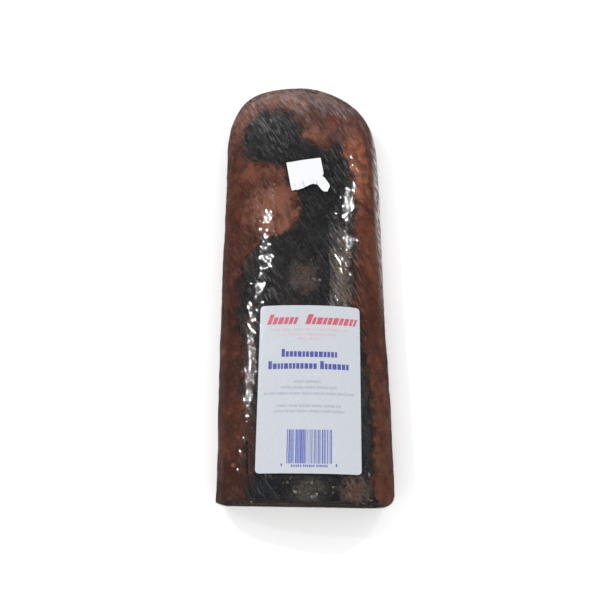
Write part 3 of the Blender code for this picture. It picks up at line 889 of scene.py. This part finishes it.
# Partly painted highlight: the palest tone makes a few seeds pale grey, standing for glinting
# specks on the filling.
slate_tone = slate.ramp(
    slate.attribute("tone"),
    (0.0, (0.003, 0.003, 0.004)), (0.55, (0.009, 0.010, 0.013)),
    (0.86, (0.026, 0.029, 0.036)), (1.0, (0.120, 0.115, 0.115)),
)
slate.look(slate_tone, 0.5, specular=0.3)
slate.wear(poppy_seeds)
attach(poppy_seeds, "root")

# Chopped walnut: pale pinkish-brown crumbs, baked into the filling, that show near the
# cut end and here and there on the cut face.

# Groups of crumbs in the bare filling: each one's middle, its spread and its count
NUT_GROUPS = (
    (0.002, -0.176, 0.0075, 9), (0.008, -0.1795, 0.0060, 8), (0.0475, -0.1656, 0.0015, 2),
    (0.0445, -0.1745, 0.0025, 3), (-0.012, -0.170, 0.006, 3), (0.024, -0.174, 0.006, 3),
    (0.004, -0.012, 0.012, 5),
)
NUT_SIZE = (0.0015, 0.0011, 0.0009)
NUT_ROUGHNESS = (0.55, 1100.0)
CUT_NUT_COUNT = 16
NUT_FROM_CUT, NUT_LIFT, NUT_DEPTH_IN_CUT = 0.003, 0.0001, 0.0009

nut_form, nut_faces = small_form(2, NUT_SIZE)
rough_form = [1.0 + NUT_ROUGHNESS[0] * noise.noise(Vector(p) * NUT_ROUGHNESS[1]) for p in nut_form]
nut_form = nut_form * np.array(rough_form)[:, None]
draw_nuts = np.random.default_rng(8)
spots = np.concatenate([
    draw_nuts.normal((x, y), spread * 0.5, (count, 2)) for x, y, spread, count in NUT_GROUPS
])
spots[:, 1] = np.maximum(spots[:, 1], CUT_Y + NUT_FROM_CUT)
nut_z = height_on(paste_tree, spots[:, 0], spots[:, 1]) + NUT_LIFT
nut_places = np.stack((spots[:, 0], spots[:, 1], nut_z), axis=1)
cut_nuts = places_on_cut(draw_nuts, CUT_NUT_COUNT, 0.2, 0.8)
cut_nuts[:, 1] += NUT_DEPTH_IN_CUT
places = np.concatenate((nut_places, cut_nuts))
nut_sizes = draw_nuts.uniform(0.6, 1.25, len(places))
walnut = scatter("walnut_bits", nut_form, nut_faces, places, nut_sizes, 9)
nut = Finish("walnut")
nut_tone = nut.ramp(
    nut.attribute("tone"),
    (0.0, (0.060, 0.044, 0.036)), (0.5, (0.110, 0.086, 0.074)), (1.0, (0.240, 0.200, 0.170)),
)
nut_flecks = nut.noise(900.0, 3.0, 0.6)
nut.look(nut.tint(nut_tone, nut_flecks, 0.45, 0.7, 0.5, (0.08, 0.045, 0.032)), 0.6)
nut.wear(walnut)
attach(walnut, "root")

# The film: clear stretch film drawn tight round the roll by hand. It lies in fine slanted
# wrinkles, hazier where it doubles over itself, and is gathered under the roll. Its pale side rims
# and its pale hatch lines are painted highlights.
FILM_INSET = 0.00040
FILM_CAP = 0.06
FILM_COLUMNS, FILM_ROWS = 236, 400
SLANT = math.radians(62.0)

# Length of film from the right side to each stop of the section, and to the middle on top
FILM_RUN = (0.0, 0.165, 0.190, 0.298, 0.323)
RUN_TO_MIDDLE = 0.0825
GATHER_CENTRE_Z = 0.004

# Creases: height, length, distance apart, seed, sharpness and the share they lie sunk;
# dimples, the folds gathered under the roll and the pleats at its round end
CREASES = ((0.00026, 0.024, 0.0050, 43, 3.0, 0.45), (0.00012, 0.012, 0.0030, 44, 2.0, 0.50))
DIMPLES = ((0.00008, 0.0055, 0.0080, 45),)
GATHER_DEPTH, GATHER_FOLDS = 0.00012, 9.0
PLEAT_DEPTH, PLEAT_FOLDS = 0.0005, 11.0
PRESSED_FLAT, PRESSED_DEPTH = 0.92, 0.00012

# Bands down both shoulders where the lamps glint and the painted glint lines lie thickest: middle
# and width
GLINT_HATCH_BANDS = ((-0.030, 0.011), (0.036, 0.012))

# Haze: at least, and more in the streaks, on the whole film and towards the round end. The rims'
# shares are painted reflection, a pale sheen down both sides
HAZE, STREAK_HAZE = 0.001, 0.005
FAR_HAZE, FAR_STREAK_HAZE = 0.040, 0.105
TIP_HAZE, LEFT_RIM_SHEEN, RIGHT_RIM_SHEEN, BASE_HAZE = 0.02, 0.02, 0.50, 0.16

film, across, along = grid_piece("clear_film", FILM_COLUMNS, FILM_ROWS)
film_points, around, outward = wrap_round_roll(across, along, FILM_INSET, FILM_CAP)
set_points(film, film_points)
weld(film)
film_tree = surface_tree(film)
bpy.data.objects.remove(film, do_unlink=True)
film, across, along = grid_piece("clear_film", FILM_COLUMNS, FILM_ROWS)

on_body = along >= FILM_CAP
run_across = RUN_TO_MIDDLE - np.interp(around, SECTION_STOPS, FILM_RUN)
run_along = film_points[:, 1]
line = run_across * math.cos(SLANT) - run_along * math.sin(SLANT)
step = run_across * math.sin(SLANT) + run_along * math.cos(SLANT)
drift = 0.004 * waves(line / 0.06, step / 0.06, 41)


def crease(length, width, seed, sharp):
    """Ridges along the film's slant: `length` long and `width` apart."""
    ridge = 1.0 - np.abs(waves(line / length, (step + drift) / width, seed))
    return np.clip(ridge, 0.0, 1.0) ** sharp


def bell(value, middle, width):
    return np.exp(-((value - middle) / width) ** 2)


def round_foot(points):
    """Angle and distance from the roll's foot, for the folds gathered at its two ends."""
    height = points[:, 2] - GATHER_CENTRE_Z
    return np.arctan2(height, points[:, 0]), np.hypot(height, points[:, 0])


busy = 0.45 + 0.55 * smooth_step(-0.35, 0.45, waves(line / 0.05, step / 0.03, 42))
rise = sum(
    height * (crease(length, width, seed, sharp) - sunk) * busy
    for height, length, width, seed, sharp, sunk in CREASES
)
rise += layered(run_across, run_along, DIMPLES)
beyond = beyond_label(film_points[:, 0], film_points[:, 1])
under_label = (1.0 - smooth_step(-0.002, 0.002, beyond)) * (around < DOME_END) * on_body
rise = rise * (1.0 - PRESSED_FLAT * under_label) - PRESSED_DEPTH * under_label
angle, radius = round_foot(film_points)
gather = GATHER_DEPTH * waves(angle * GATHER_FOLDS, radius / 0.05, 46)
gather *= smooth_step(0.0, 0.02, radius)
film_points += outward * (rise * on_body)[:, None]
film_points[:, 1] += np.where(on_body, 0.0, gather)
angle, radius = round_foot(film_points)
pleat = PLEAT_DEPTH * np.abs(waves(angle * PLEAT_FOLDS, run_along / 0.03, 47))
film_points[:, 1] -= pleat * smooth_step(0.150, 0.182, film_points[:, 1])
set_points(film, film_points)

x, y, z = film_points.T
haze_and_sheen = HAZE + STREAK_HAZE * np.clip(waves(line / 0.03, step / 0.012, 48), 0.0, 1.0)
far_streaks = np.clip(waves(line / 0.05, step / 0.007, 49), 0.0, 1.0)
haze_and_sheen += smooth_step(0.090, 0.182, y) * (FAR_HAZE + FAR_STREAK_HAZE * far_streaks)
haze_and_sheen += TIP_HAZE * smooth_step(0.160, 0.183, y)
# Painted reflection: a pale sheen down both side rims, strongest on the right, where the film would
# mirror the bright floor at a grazing angle.
right_rim_sheen = smooth_step(0.060, 0.067, x) * smooth_step(-0.060, 0.060, y)
haze_and_sheen += RIGHT_RIM_SHEEN * right_rim_sheen * smooth_step(0.004, 0.022, z)
haze_and_sheen += LEFT_RIM_SHEEN * smooth_step(0.058, 0.066, -x)
haze_and_sheen = np.where(z < 0.004, BASE_HAZE, haze_and_sheen)
# Painted highlight: how thickly the pale hatch lines lie. They stand for fine wrinkles catching
# light, most in the two glint bands and towards the round end.
glint_hatch = 0.22 + 0.9 * sum(bell(x, *band) for band in GLINT_HATCH_BANDS)
glint_hatch += 0.6 * smooth_step(0.105, 0.150, y)
glint_hatch *= 0.50 + 0.9 * np.clip(waves(x / 0.022, y / 0.028, 57) + 0.3, 0.0, 1.0)
glint_hatch *= 1.0 - 0.45 * smooth_step(-0.040, -0.080, y)
add_attribute(film, "haze_and_sheen", np.where(on_body, np.clip(haze_and_sheen, 0.0, 0.8), 0.0))
add_attribute(film, "sheen", np.where(on_body, 1.0, 0.6))
add_attribute(film, "glint_hatch", np.where(on_body, np.clip(glint_hatch, 0.0, 1.6), 0.35))
weld(film)
shade_smooth(film, 60.0)

STREAK_SIZE = (0.0098, 0.0022, 0.0046)
HAIR_SIZE = (0.0085, 0.0010, 0.0060)
MIRROR_LEAST, MIRROR_MOST = 0.022, 0.11

clear = Finish("clear_film")
streaks = clear.noise(1.0, 0.0, 0.5, clear.fitted(STREAK_SIZE, -SLANT))
hairs = clear.noise(1.0, 0.0, 0.5, clear.fitted(HAIR_SIZE, -SLANT))
crinkle = clear.bump(streaks, 0.00050, 0.8)
clear.look((0.80, 0.76, 0.75), 0.35, crinkle)
gloss = clear.add("ShaderNodeBsdfGlossy", {
    "Color": (1.0, 1.0, 1.0), "Roughness": 0.055, "Normal": crinkle,
})
see_through = clear.add("ShaderNodeBsdfTransparent")
shine = clear.add("ShaderNodeFresnel", {"IOR": 1.55, "Normal": crinkle})
edge_on = clear.math("SUBTRACT", clear.math("MINIMUM", shine.outputs[0], MIRROR_MOST), MIRROR_LEAST)
mirror = clear.plus(clear.times(edge_on, clear.attribute("sheen")), MIRROR_LEAST)
glazed = clear.blend(mirror, see_through.outputs[0], gloss.outputs[0])
streaked = clear.times(clear.attribute("haze_and_sheen"), clear.span(streaks, 0.30, 0.72, 0.4, 1.8))
# Painted highlight: pale hatch lines in the milky layer, standing for fine wrinkles catching light.
painted_glint_hatch = clear.times(clear.span(hairs, 0.57, 0.73, 0.0, 0.11), clear.attribute("glint_hatch"))
clear.show(clear.blend(clear.plus(streaked, painted_glint_hatch), glazed, clear.shader.outputs[0]))
clear.wear(film)
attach(film, "root")
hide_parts("film_wrap")

# The film's lap: its free edge lies lengthwise over the first layer, from under the label
# towards the round end, where it runs out.
LAP_LEFT = 0.0222
LAP_WIDTH = 0.018
LAP_NEAR, LAP_FAR = -0.055, 0.060
LAP_LIFT = 0.00012

film_lap, across, along = grid_piece("film_lap", 30, 130)
run_out = smooth_step(0.55, 1.0, along)
lap_y = LAP_NEAR + (LAP_FAR - LAP_NEAR) * along
lap_x = LAP_LEFT + 0.0006 * waves(lap_y / 0.013, np.full(len(lap_y), 0.5), 55)
lap_x += LAP_WIDTH * (1.0 - 0.6 * run_out) * across
lap_z = height_on(film_tree, lap_x, lap_y) + LAP_LIFT
lap_z += 0.00008 * waves(lap_x / 0.004, lap_y / 0.009, 56)
set_points(film_lap, np.stack((lap_x, lap_y, lap_z), axis=1))
edge_fade = (1.0 - smooth_step(0.35, 1.0, across)) * (1.0 - run_out)
add_attribute(film_lap, "haze_and_sheen", 0.024 * edge_fade)
# Painted highlight: pale glint lines along the lap's free edge.
add_attribute(film_lap, "glint_hatch", edge_fade)
add_attribute(film_lap, "sheen", np.ones(len(edge_fade)))
shade_smooth(film_lap, 60.0)
clear.wear(film_lap)
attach(film_lap, "root")

# The label: smooth white paper, printed, stuck on the film across the cut end's half. It
# cockles a little where the film under it isn't flat.
PAPER = 0.00018
LABEL_LIFT = 0.00030
LABEL_CORNER = 0.003
COCKLES = ((0.00010, 0.030, 0.024, 51), (0.00004, 0.009, 0.012, 52))


def round_corners(x, y, half_x, half_y, corner):
    """Draws the corners of a rectangle of points in to quarter circles."""
    u = np.clip((np.abs(x) - (half_x - corner)) / corner, 0.0, 1.0)
    v = np.clip((np.abs(y) - (half_y - corner)) / corner, 0.0, 1.0)
    pull = (u > 0.0) & (v > 0.0)
    round_x = np.sign(x) * (half_x - corner + corner * u * np.sqrt(1.0 - v * v / 2.0))
    round_y = np.sign(y) * (half_y - corner + corner * v * np.sqrt(1.0 - u * u / 2.0))
    return np.where(pull, round_x, x), np.where(pull, round_y, y)


def drape(x, y, centre, turn, lift):
    """Places flat points on the film's top: turned, moved and lifted clear of it."""
    world_x = centre[0] + x * math.cos(turn) - y * math.sin(turn)
    world_y = centre[1] + x * math.sin(turn) + y * math.cos(turn)
    return np.stack((world_x, world_y, height_on(film_tree, world_x, world_y) + lift), axis=1)


def drape_on_label(x, y, above):
    """Places flat points on the label's face, or `above` it."""
    lift = LABEL_LIFT + PAPER + above + layered(x, y, COCKLES)
    return drape(x, y, LABEL_CENTRE, LABEL_TURN, lift)


def thicken(piece, thickness):
    with editing(piece):
        extrude_down(thickness)


label, across, along = grid_piece("label_paper", 78, 130)
flat_x = (across - 0.5) * LABEL_SIZE[0]
flat_y = (along - 0.5) * LABEL_SIZE[1]
flat_x, flat_y = round_corners(flat_x, flat_y, LABEL_SIZE[0] / 2, LABEL_SIZE[1] / 2, LABEL_CORNER)
set_points(label, drape_on_label(flat_x, flat_y, 0.0))
thicken(label, PAPER)
shade_smooth(label, 40.0)
paper = Finish("label_paper")
fibre = paper.noise(700.0, 3.0, 0.6)
tone = paper.ramp(fibre, (0.3, (0.54, 0.572, 0.618)), (0.7, (0.59, 0.623, 0.67)))
paper.look(tone, 0.18, paper.bump(fibre, 0.0001, 0.3))
paper.wear(label)
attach(label, "root")
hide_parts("label")

# The label's print: a slanted red heading, a blue name, faint small lines and a block of
# blue bars, each a row of plain blocks laid on the paper as a thin layer of ink. Places
# are in millimetres from the label's top left corner.
INK = 0.00002
INK_LIFT = 0.00008
CELL_WIDTH, CELL_HEIGHT = 0.9, 1.2
BLOCK_WIDTHS = (0.38, 0.72)
GROUP_GAP = 0.45


class Print:
    """Flat shapes of one ink, each a patch that follows the label."""

    def __init__(self):
        self.points = []
        self.faces = []

    def patch(self, u, v, width, height, slant=0.0):
        """A block with its top left corner at u, v, in cells small enough to bend."""
        columns = max(1, math.ceil(width / CELL_WIDTH))
        rows = max(1, math.ceil(height / CELL_HEIGHT))
        first = len(self.points)
        for i in range(rows + 1):
            down = height * i / rows
            for j in range(columns + 1):
                self.points.append((u + width * j / columns + slant * (height - down), v + down))
        for i in range(rows):
            for j in range(columns):
                corner = first + i * (columns + 1) + j
                below = corner + columns + 1
                self.faces.append((below, below + 1, corner + 1, corner))

    def blocks(self, left, right, top, body, seed, slant=0.0, gap=0.17, taller=0.45, group=6):
        """A line of plain blocks of one height, the first of each group taller."""
        draw = random.Random(seed)
        u = left
        since = 0
        while u < right - 0.3 * body:
            if since >= group and right - u > 2.5 * body:
                u += GROUP_GAP * body
                since = 0
            width = min(body * draw.uniform(*BLOCK_WIDTHS), right - u)
            up = body * taller if since == 0 else 0.0
            self.patch(u, top - up, width, body + up, slant)
            u += width + gap * body
            since += 1

    def small_lines(self, lines, body, gap, seed):
        """Lines of even blocks, each with its left and right end and its top."""
        for row, (left, right, top) in enumerate(lines):
            self.blocks(left, right, top, body, seed + row, gap=gap, taller=0.0)

    def make(self, name, colour):
        spots = np.array(self.points) / MM_PER_M
        mesh = bpy.data.meshes.new(name)
        x = spots[:, 0] - LABEL_SIZE[0] / 2
        y = LABEL_SIZE[1] / 2 - spots[:, 1]
        mesh.from_pydata(drape_on_label(x, y, INK_LIFT).tolist(), [], self.faces)
        piece = placed(name, mesh)
        thicken(piece, INK)
        ink = Finish(name)
        pale = tuple(min(1.0, c * 1.25 + 0.05) for c in colour)
        ink.look(ink.ramp(ink.noise(900.0, 2.0, 0.5), (0.35, colour), (0.75, pale)), 0.4)
        ink.wear(piece)
        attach(piece, "root")


heading = Print()
heading.blocks(5.5, 28.0, 9.9, 5.6, 61, slant=0.34, group=9)
heading.blocks(35.0, 73.5, 9.9, 5.6, 62, slant=0.34, group=12)
heading.make("print_red", (0.52, 0.085, 0.125))

small_red = Print()
small_red.small_lines(((8.6, 68.0, 19.2), (17.0, 59.5, 22.8), (29.0, 47.5, 26.4)), 1.5, 0.35, 70)
small_red.make("print_faint_red", (0.62, 0.42, 0.47))

name_lines = Print()
name_lines.blocks(17.5, 59.5, 37.4, 4.3, 81, group=14)
name_lines.blocks(7.5, 70.0, 46.8, 4.3, 84, group=12)
name_lines.make("print_blue", (0.055, 0.070, 0.330))

small_grey = Print()
small_grey.small_lines((
    (27.0, 47.5, 60.2), (17.5, 60.0, 64.6), (4.8, 72.0, 69.2),
    (14.5, 62.5, 78.6), (12.5, 65.0, 82.6),
), 1.6, 0.30, 90)
small_grey.make("print_grey", (0.36, 0.39, 0.46))

BAR = 0.33
BARS_LEFT, BARS_RIGHT, BARS_TOP, BARS_HEIGHT = 22.8, 55.6, 97.0, 24.5
DENSE_LEFT, DENSE_RIGHT = 30.0, 36.0

bars = Print()
draw = random.Random(7)
u = BARS_LEFT
while u < BARS_RIGHT:
    dense = DENSE_LEFT < u < DENSE_RIGHT
    width = draw.choice((0.7, 1.0, 1.35)) if dense else draw.choice((BAR, BAR, 2 * BAR, 3 * BAR))
    bars.patch(u, BARS_TOP, width, BARS_HEIGHT)
    u += width + (BAR if dense else draw.choice((BAR, 2 * BAR, 2 * BAR, 3 * BAR)))
bars.small_lines(((26.0, 52.5, 122.4),), 1.6, 0.35, 99)
for u in (18.6, 58.4):
    bars.patch(u, 121.6, 1.0, 1.9)
bars.make("print_bars", (0.085, 0.115, 0.430))

# The price sticker: a small square of bright paper, stuck on by hand, a little turned.
# Its lower part has creased upright where the film slipped under it, and its lower right
# corner has drawn out to a tongue. The valleys of its creases are painted grey as shade.
STICKER_SIZE = (0.0290, 0.0275)
STICKER_CENTRE = (0.0050, 0.0805)
STICKER_TURN = math.radians(8.5)
STICKER_LIFT = 0.0006
TUCK, FLAP, BULGE = 0.0032, 0.0056, 0.0030

sticker, across, along = grid_piece("price_paper", 72, 68)
flat_x = (across - 0.5) * STICKER_SIZE[0]
flat_y = (along - 0.5) * STICKER_SIZE[1]
lower = smooth_step(0.45, 0.05, along)
folds = 0.0011 * np.abs(waves(flat_x / 0.0024, flat_y / 0.022, 101)) * lower
folds += 0.0004 * waves(flat_x / 0.0014, flat_y / 0.012, 102) * lower
curl = 0.0007 * smooth_step(0.30, 0.0, along) + 0.0004 * smooth_step(0.18, 0.0, across)
flat_y = flat_y + TUCK * bell(across, 0.62, 0.24) * (1.0 - along) ** 2
flat_y = flat_y - FLAP * (smooth_step(0.74, 0.90, across) * smooth_step(0.62, 0.10, along))
bulge = bell(along, 0.20, 0.13) - 0.5 * bell(along, 0.43, 0.035)
flat_x = flat_x + BULGE * bulge * smooth_step(0.80, 1.0, across)
lift = STICKER_LIFT + folds + curl
set_points(sticker, drape(flat_x, flat_y, STICKER_CENTRE, STICKER_TURN, lift))
# Painted shade: a mask for the valleys of the creases on the sticker's lower part.
crease_shade = np.clip(waves((across - 0.5) / 0.075 + 3.0, along * 1.5, 103), 0.0, 1.0)
add_attribute(sticker, "crease_shade", crease_shade * smooth_step(0.42, 0.12, along))
thicken(sticker, PAPER)
shade_smooth(sticker, 50.0)
bright = Finish("price_paper")
tone = bright.ramp(
    bright.noise(600.0, 3.0, 0.6), (0.3, (0.80, 0.815, 0.86)), (0.7, (0.85, 0.865, 0.905)))
# Painted shade: the crease valleys are greyed.
tone = bright.tint(tone, bright.attribute("crease_shade"), 0.10, 0.55, 0.75, (0.40, 0.42, 0.47))
bright.look(tone, 0.35)
bright.wear(sticker)
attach(sticker, "root")
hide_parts("price_sticker")

# The studio: a plain pale floor under soft light, with small bright lamps round it. The
# glints of the two beyond the round end run down both shoulders of the film. Floor and
# sky are dimmer in a mirror, as with dark cards round the table, so the film stays clear.
FLOOR_SIZE = 6.0
FLOOR_DROP = 0.0005
FLOOR_GLOW = 0.16
SKY_LEVEL = 0.83
SKY_LEAN = (0.0, 0.36, 0.93)
MIRRORED_FLOOR = (0.10, 0.10, 0.10)
MIRRORED_SKY, MIRRORED_ZENITH, MIRRORED_ENDS = 0.07, 0.03, 0.55

bpy.ops.object.select_all(action="DESELECT")
bpy.ops.mesh.primitive_plane_add(size=FLOOR_SIZE, location=(0.0, 0.0, -FLOOR_DROP))
floor = bpy.context.active_object
floor.name = "floor"
ground = Finish("pale_floor")
ground.look((0.93, 0.93, 0.93), 0.9)
ground.feed(ground.shader.inputs["Emission Color"], (1.0, 1.0, 1.0))
ground.feed(ground.shader.inputs["Emission Strength"], FLOOR_GLOW)
ray = ground.add("ShaderNodeLightPath")
dull = ground.add("ShaderNodeBsdfDiffuse", {"Color": MIRRORED_FLOOR})
ground.show(ground.blend(ray.outputs["Is Glossy Ray"], ground.shader.outputs[0], dull.outputs[0]))
ground.wear(floor)
floor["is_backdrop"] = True

world = bpy.data.worlds.new("studio")
bpy.context.scene.world = world
world.use_nodes = True
sky = Nodes(world.node_tree)
heading_to = sky.add("ShaderNodeTexCoord").outputs["Generated"]
upward, lengthwise = (
    sky.add("ShaderNodeVectorMath", {0: heading_to, 1: way}, operation="DOT_PRODUCT")
    for way in (Vector(SKY_LEAN).normalized(), (0.0, 1.0, 0.0))
)
overhead = sky.span(upward.outputs["Value"], 0.40, 0.85, MIRRORED_SKY, MIRRORED_ZENITH)
either_end = sky.math("ABSOLUTE", lengthwise.outputs["Value"])
ends = sky.span(either_end, 0.80, 0.97, 0.0, MIRRORED_ENDS)
level = sky.add("ShaderNodeMix", {
    "Factor": sky.add("ShaderNodeLightPath").outputs["Is Glossy Ray"],
    "A": SKY_LEVEL, "B": sky.plus(overhead, ends),
})
backdrop = world.node_tree.nodes["Background"]
sky.feed(backdrop.inputs["Strength"], level.outputs["Result"])
sky.feed(backdrop.inputs["Color"], (1.0, 1.0, 1.0))

# Each lamp's name, place, what it points at, side and watts
LAMPS = (
    ("left_lamp", (-0.62, 0.49, 1.02), (0.0, 0.0, 0.03), 0.05, 2.1),
    ("side_lamp", (-0.81, 0.20, 0.90), (0.0, -0.05, 0.03), 0.035, 1.1),
    ("right_lamp", (0.74, 0.66, 0.98), (0.0, 0.05, 0.03), 0.05, 2.1),
    ("low_left_lamp", (-0.95, -0.85, 0.60), (0.0, -0.05, 0.03), 0.07, 0.8),
    ("low_right_lamp", (1.05, -0.70, 0.62), (0.0, -0.05, 0.03), 0.07, 0.8),
    ("soft_box", (0.0, -1.5, 1.6), (0.0, 0.0, 0.0), 1.4, 6.0),
)
for name, place, aim, side, watts in LAMPS:
    light = bpy.data.lights.new(name, "AREA")
    light.size = side
    light.energy = watts
    lamp = placed(name, light)
    lamp.location = place
    lamp.rotation_euler = (Vector(aim) - Vector(place)).to_track_quat("-Z", "Y").to_euler()

CAMERA_PLACE = (0.0117, -0.2435, 0.609)
CAMERA_ELEVATION = math.radians(69.1)
CAMERA_AZIMUTH = math.radians(3.52)
CAMERA_ROLL = math.radians(-4.44)
LENS, SENSOR_WIDTH = 45.96, 36.0

camera_data = bpy.data.cameras.new("camera")
camera_data.sensor_width = SENSOR_WIDTH
camera_data.lens = LENS
camera = placed("camera", camera_data)
camera.location = CAMERA_PLACE
back = Vector((
    math.sin(CAMERA_AZIMUTH) * math.cos(CAMERA_ELEVATION),
    -math.cos(CAMERA_AZIMUTH) * math.cos(CAMERA_ELEVATION),
    math.sin(CAMERA_ELEVATION),
))
right = Vector((math.cos(CAMERA_AZIMUTH), math.sin(CAMERA_AZIMUTH), 0.0))
up = back.cross(right)
rolled_right = right * math.cos(CAMERA_ROLL) + up * math.sin(CAMERA_ROLL)
rolled_up = back.cross(rolled_right)
camera.rotation_mode = "QUATERNION"
camera.rotation_quaternion = Matrix((rolled_right, rolled_up, back)).transposed().to_quaternion()
bpy.context.scene.camera = camera
bpy.context.scene.view_settings.view_transform = "Standard"

low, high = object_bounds()
